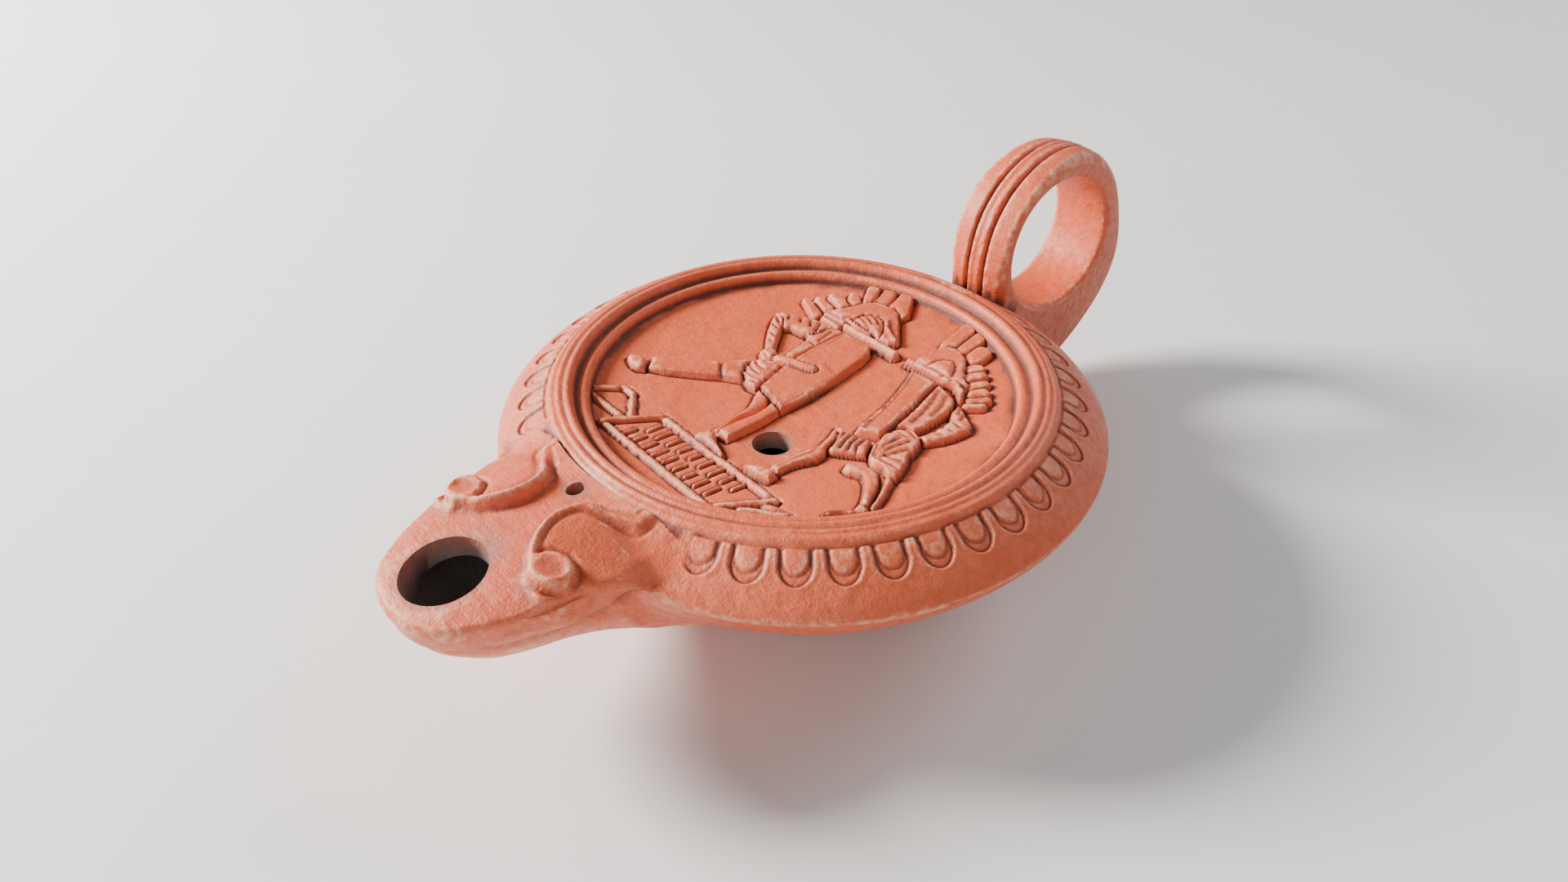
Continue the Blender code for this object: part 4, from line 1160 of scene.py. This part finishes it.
def shadeByForm(mesh):
    # how hollow or how raised each place is, from the mesh itself; hollows get painted shade, crests
    # painted highlight and wear
    count = len(mesh.vertices)
    points = readings(mesh.vertices, "co", 3)
    normals = readings(mesh.vertices, "normal", 3)
    edges = readings(mesh.edges, "vertices", 2, np.int64)
    first = np.concatenate([edges[:, 0], edges[:, 1]])
    second = np.concatenate([edges[:, 1], edges[:, 0]])
    links = np.maximum(np.bincount(first, minlength=count), 1)

    def spread(values):
        # each place takes the mean of its neighbours
        sums = [np.bincount(first, values[second, k], count) for k in range(values.shape[1])]
        return np.stack(sums, 1) / links[:, None]

    def sinkAfter(passes):
        smooth = points.copy()
        for _ in range(passes):
            smooth = 0.5 * smooth + 0.5 * spread(smooth)
        return ((smooth - points) * normals).sum(1)

    longest = np.zeros(count)
    np.maximum.at(longest, first, np.linalg.norm(points[first] - points[second], axis=1))
    fine = easeBetween(*clay["fineEdges"], longest)
    near = fine * sinkAfter(4) / clay["nearSink"]
    wide = fine * sinkAfter(10) / clay["wideSink"]
    u, v = points[:, 0] / span, points[:, 1] / span
    onNozzle = easeBetween(-0.92, -1.02, v) * easeBetween(0.50, 0.42, np.abs(u))
    share = 1.0 - (1.0 - clay["shadeOnNozzle"]) * onNozzle
    # hollowed drives painted shade, weaker on the nozzle
    hollowed = share * np.clip(0.80 * near + 0.25 * wide, 0.0, 1.0)
    # crested drives painted highlight and wear on raised edges and on the listed spots facing up
    crested = np.clip(-0.8 * near - 0.35 * wide, 0.0, 1.0)
    raised = (points[:, 2] > 0.021) * (normals[:, 2] > 0.0)
    for spotU, spotV, wideU, wideV, amount in clay["sheenAndWearSpots"]:
        spot = ((u - spotU) / wideU) ** 2 + ((v - spotV) / wideV) ** 2
        crested = np.maximum(crested, amount * np.exp(-spot) * raised)
    hollowed = 0.5 * hollowed + 0.5 * spread(hollowed[:, None])[:, 0]
    crested = 0.5 * crested + 0.5 * spread(crested[:, None])[:, 0]

    # soot and painted shade: faces cut by the hollows are painted charcoal, soot in the wick hole and
    # painted shade deeper inside the holes, and a breath of smoke round the wick hole
    material = readings(mesh.polygons, "material_index", 1, np.int32)
    corners = readings(mesh.loops, "vertex_index", 1, np.int64)
    sizes = readings(mesh.polygons, "loop_total", 1, np.int64)
    perCorner = np.repeat(material, sizes).astype(float)
    sootAndHoleShade = np.bincount(corners, perCorner, count) / np.maximum(np.bincount(corners, minlength=count), 1)
    wickX, wickY = inMetres(nozzle["wick"])
    away = np.hypot(points[:, 0] - wickX, points[:, 1] - wickY) - nozzle["wickRadius"]
    smoke = clay["smoke"] * np.exp(-np.clip(away, 0.0, None) / clay["smokeReach"]) * (away > 0.0)
    sootAndHoleShade = np.clip(np.maximum(sootAndHoleShade, smoke * (points[:, 2] > 0.020)), 0.0, 1.0)
    for name, values in (("hollowed", hollowed), ("crested", crested), ("sootAndHoleShade", sootAndHoleShade)):
        layer = mesh.attributes.new(name, "FLOAT", "POINT")
        layer.data.foreach_set("value", values.astype(np.float32))
    material[:] = 0
    mesh.polygons.foreach_set("material_index", material)


def buildLamp():
    print("lamp: turning the body")
    body = lampSkin()
    print("lamp: pulling the handle")
    grip = handleSkin()
    outer = terracotta()
    inner = plainMaterial("innerFaces", clay["inner"])
    wick, air, h = inMetres(nozzle["wick"]), inMetres(nozzle["airHole"]), hollow
    tools = [chamberForm(), channelForm(),
             drillForm("wickDrill", wick, nozzle["wickRadius"], h["wickRun"], h["wickSteps"]),
             drillForm("fillDrill", nozzle["fill"], nozzle["fillRadius"], h["fillRun"], h["fillSteps"]),
             drillForm("airDrill", air, nozzle["airRadius"], h["airRun"], h["airSteps"], h["airOval"])]
    body.data.materials.append(outer)
    grip.data.materials.append(outer)
    modifiers = [carve(body, grip, "UNION")]
    for tool in tools:
        tool.data.materials.append(inner)
        modifiers.append(carve(body, tool, "DIFFERENCE"))
    for modifier in modifiers:
        modifier.material_mode = "TRANSFER"
    print("lamp: joining and hollowing")
    applied(body)
    for tool in [grip] + tools:
        bpy.data.objects.remove(tool, do_unlink=True)
    total = triangleCount(body.data)
    print("lamp: triangles before thinning", total)
    thin = body.modifiers.new("thin", "DECIMATE")
    thin.ratio = min(1.0, lamp["trianglesKept"] / total)
    applied(body)
    shadeByForm(body.data)
    body.data.materials.clear()
    body.data.materials.append(outer)
    body.data.shade_smooth()
    body.data.set_sharp_from_angle(angle=math.radians(70))
    print("lamp: triangles kept", triangleCount(body.data))
    return body


lampPiece = buildLamp()
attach(lampPiece, "root")
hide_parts("oil_lamp")


# floor, light and camera

studio = {
    "floorSize": 6.0,
    "floor": (0.80, 0.79, 0.77),
    "world": (0.92, 0.94, 1.0),
    "worldStrength": 0.22,
    "cameraPlace": (0.0955, -0.0929, 0.1157),
    "cameraTurn": (0.9233, 0.0, 0.8203),
    "lens": 24.444,
    "aim": (0.0, 0.0, 0.02),
    # name, place, size, power and colour of each light
    "lights": [("keyLight", (-0.60, -0.38, 0.41), 0.26, 22.5, (1.0, 0.965, 0.92)),
               ("fillLight", (0.35, -0.55, 0.35), 0.60, 2.0, (1.0, 0.98, 0.96)),
               ("backLight", (0.10, 0.60, 0.45), 0.40, 2.0, (0.96, 0.98, 1.0))],
}


def softLight(name, place, size, power, colour):
    data = bpy.data.lights.new(name, "AREA")
    data.shape = "DISK"
    data.size = size
    data.energy = power
    data.color = colour
    item = bpy.data.objects.new(name, data)
    bpy.context.scene.collection.objects.link(item)
    item.location = place
    item.rotation_euler = (Vector(studio["aim"]) - Vector(place)).to_track_quat("-Z", "Y").to_euler()


def layFloor():
    bm = bmesh.new()
    bmesh.ops.create_grid(bm, x_segments=1, y_segments=1, size=studio["floorSize"])
    mesh = bpy.data.meshes.new("floor")
    bm.to_mesh(mesh)
    bm.free()
    floor = bpy.data.objects.new("floor", mesh)
    floor.data.materials.append(plainMaterial("floorPaper", studio["floor"]))
    bpy.context.scene.collection.objects.link(floor)


print("studio: floor, light and camera")
layFloor()
world = bpy.data.worlds.new("studioAir")
world.use_nodes = True
air = world.node_tree.nodes["Background"].inputs
air["Color"].default_value = (*studio["world"], 1.0)
air["Strength"].default_value = studio["worldStrength"]
bpy.context.scene.world = world
for light in studio["lights"]:
    softLight(*light)

lens = bpy.data.cameras.new("photoCamera")
lens.sensor_width = 36.0
lens.lens = studio["lens"]
lens.clip_start = 0.005
camera = bpy.data.objects.new("photoCamera", lens)
camera.location = studio["cameraPlace"]
camera.rotation_euler = studio["cameraTurn"]
bpy.context.scene.collection.objects.link(camera)
bpy.context.scene.camera = camera
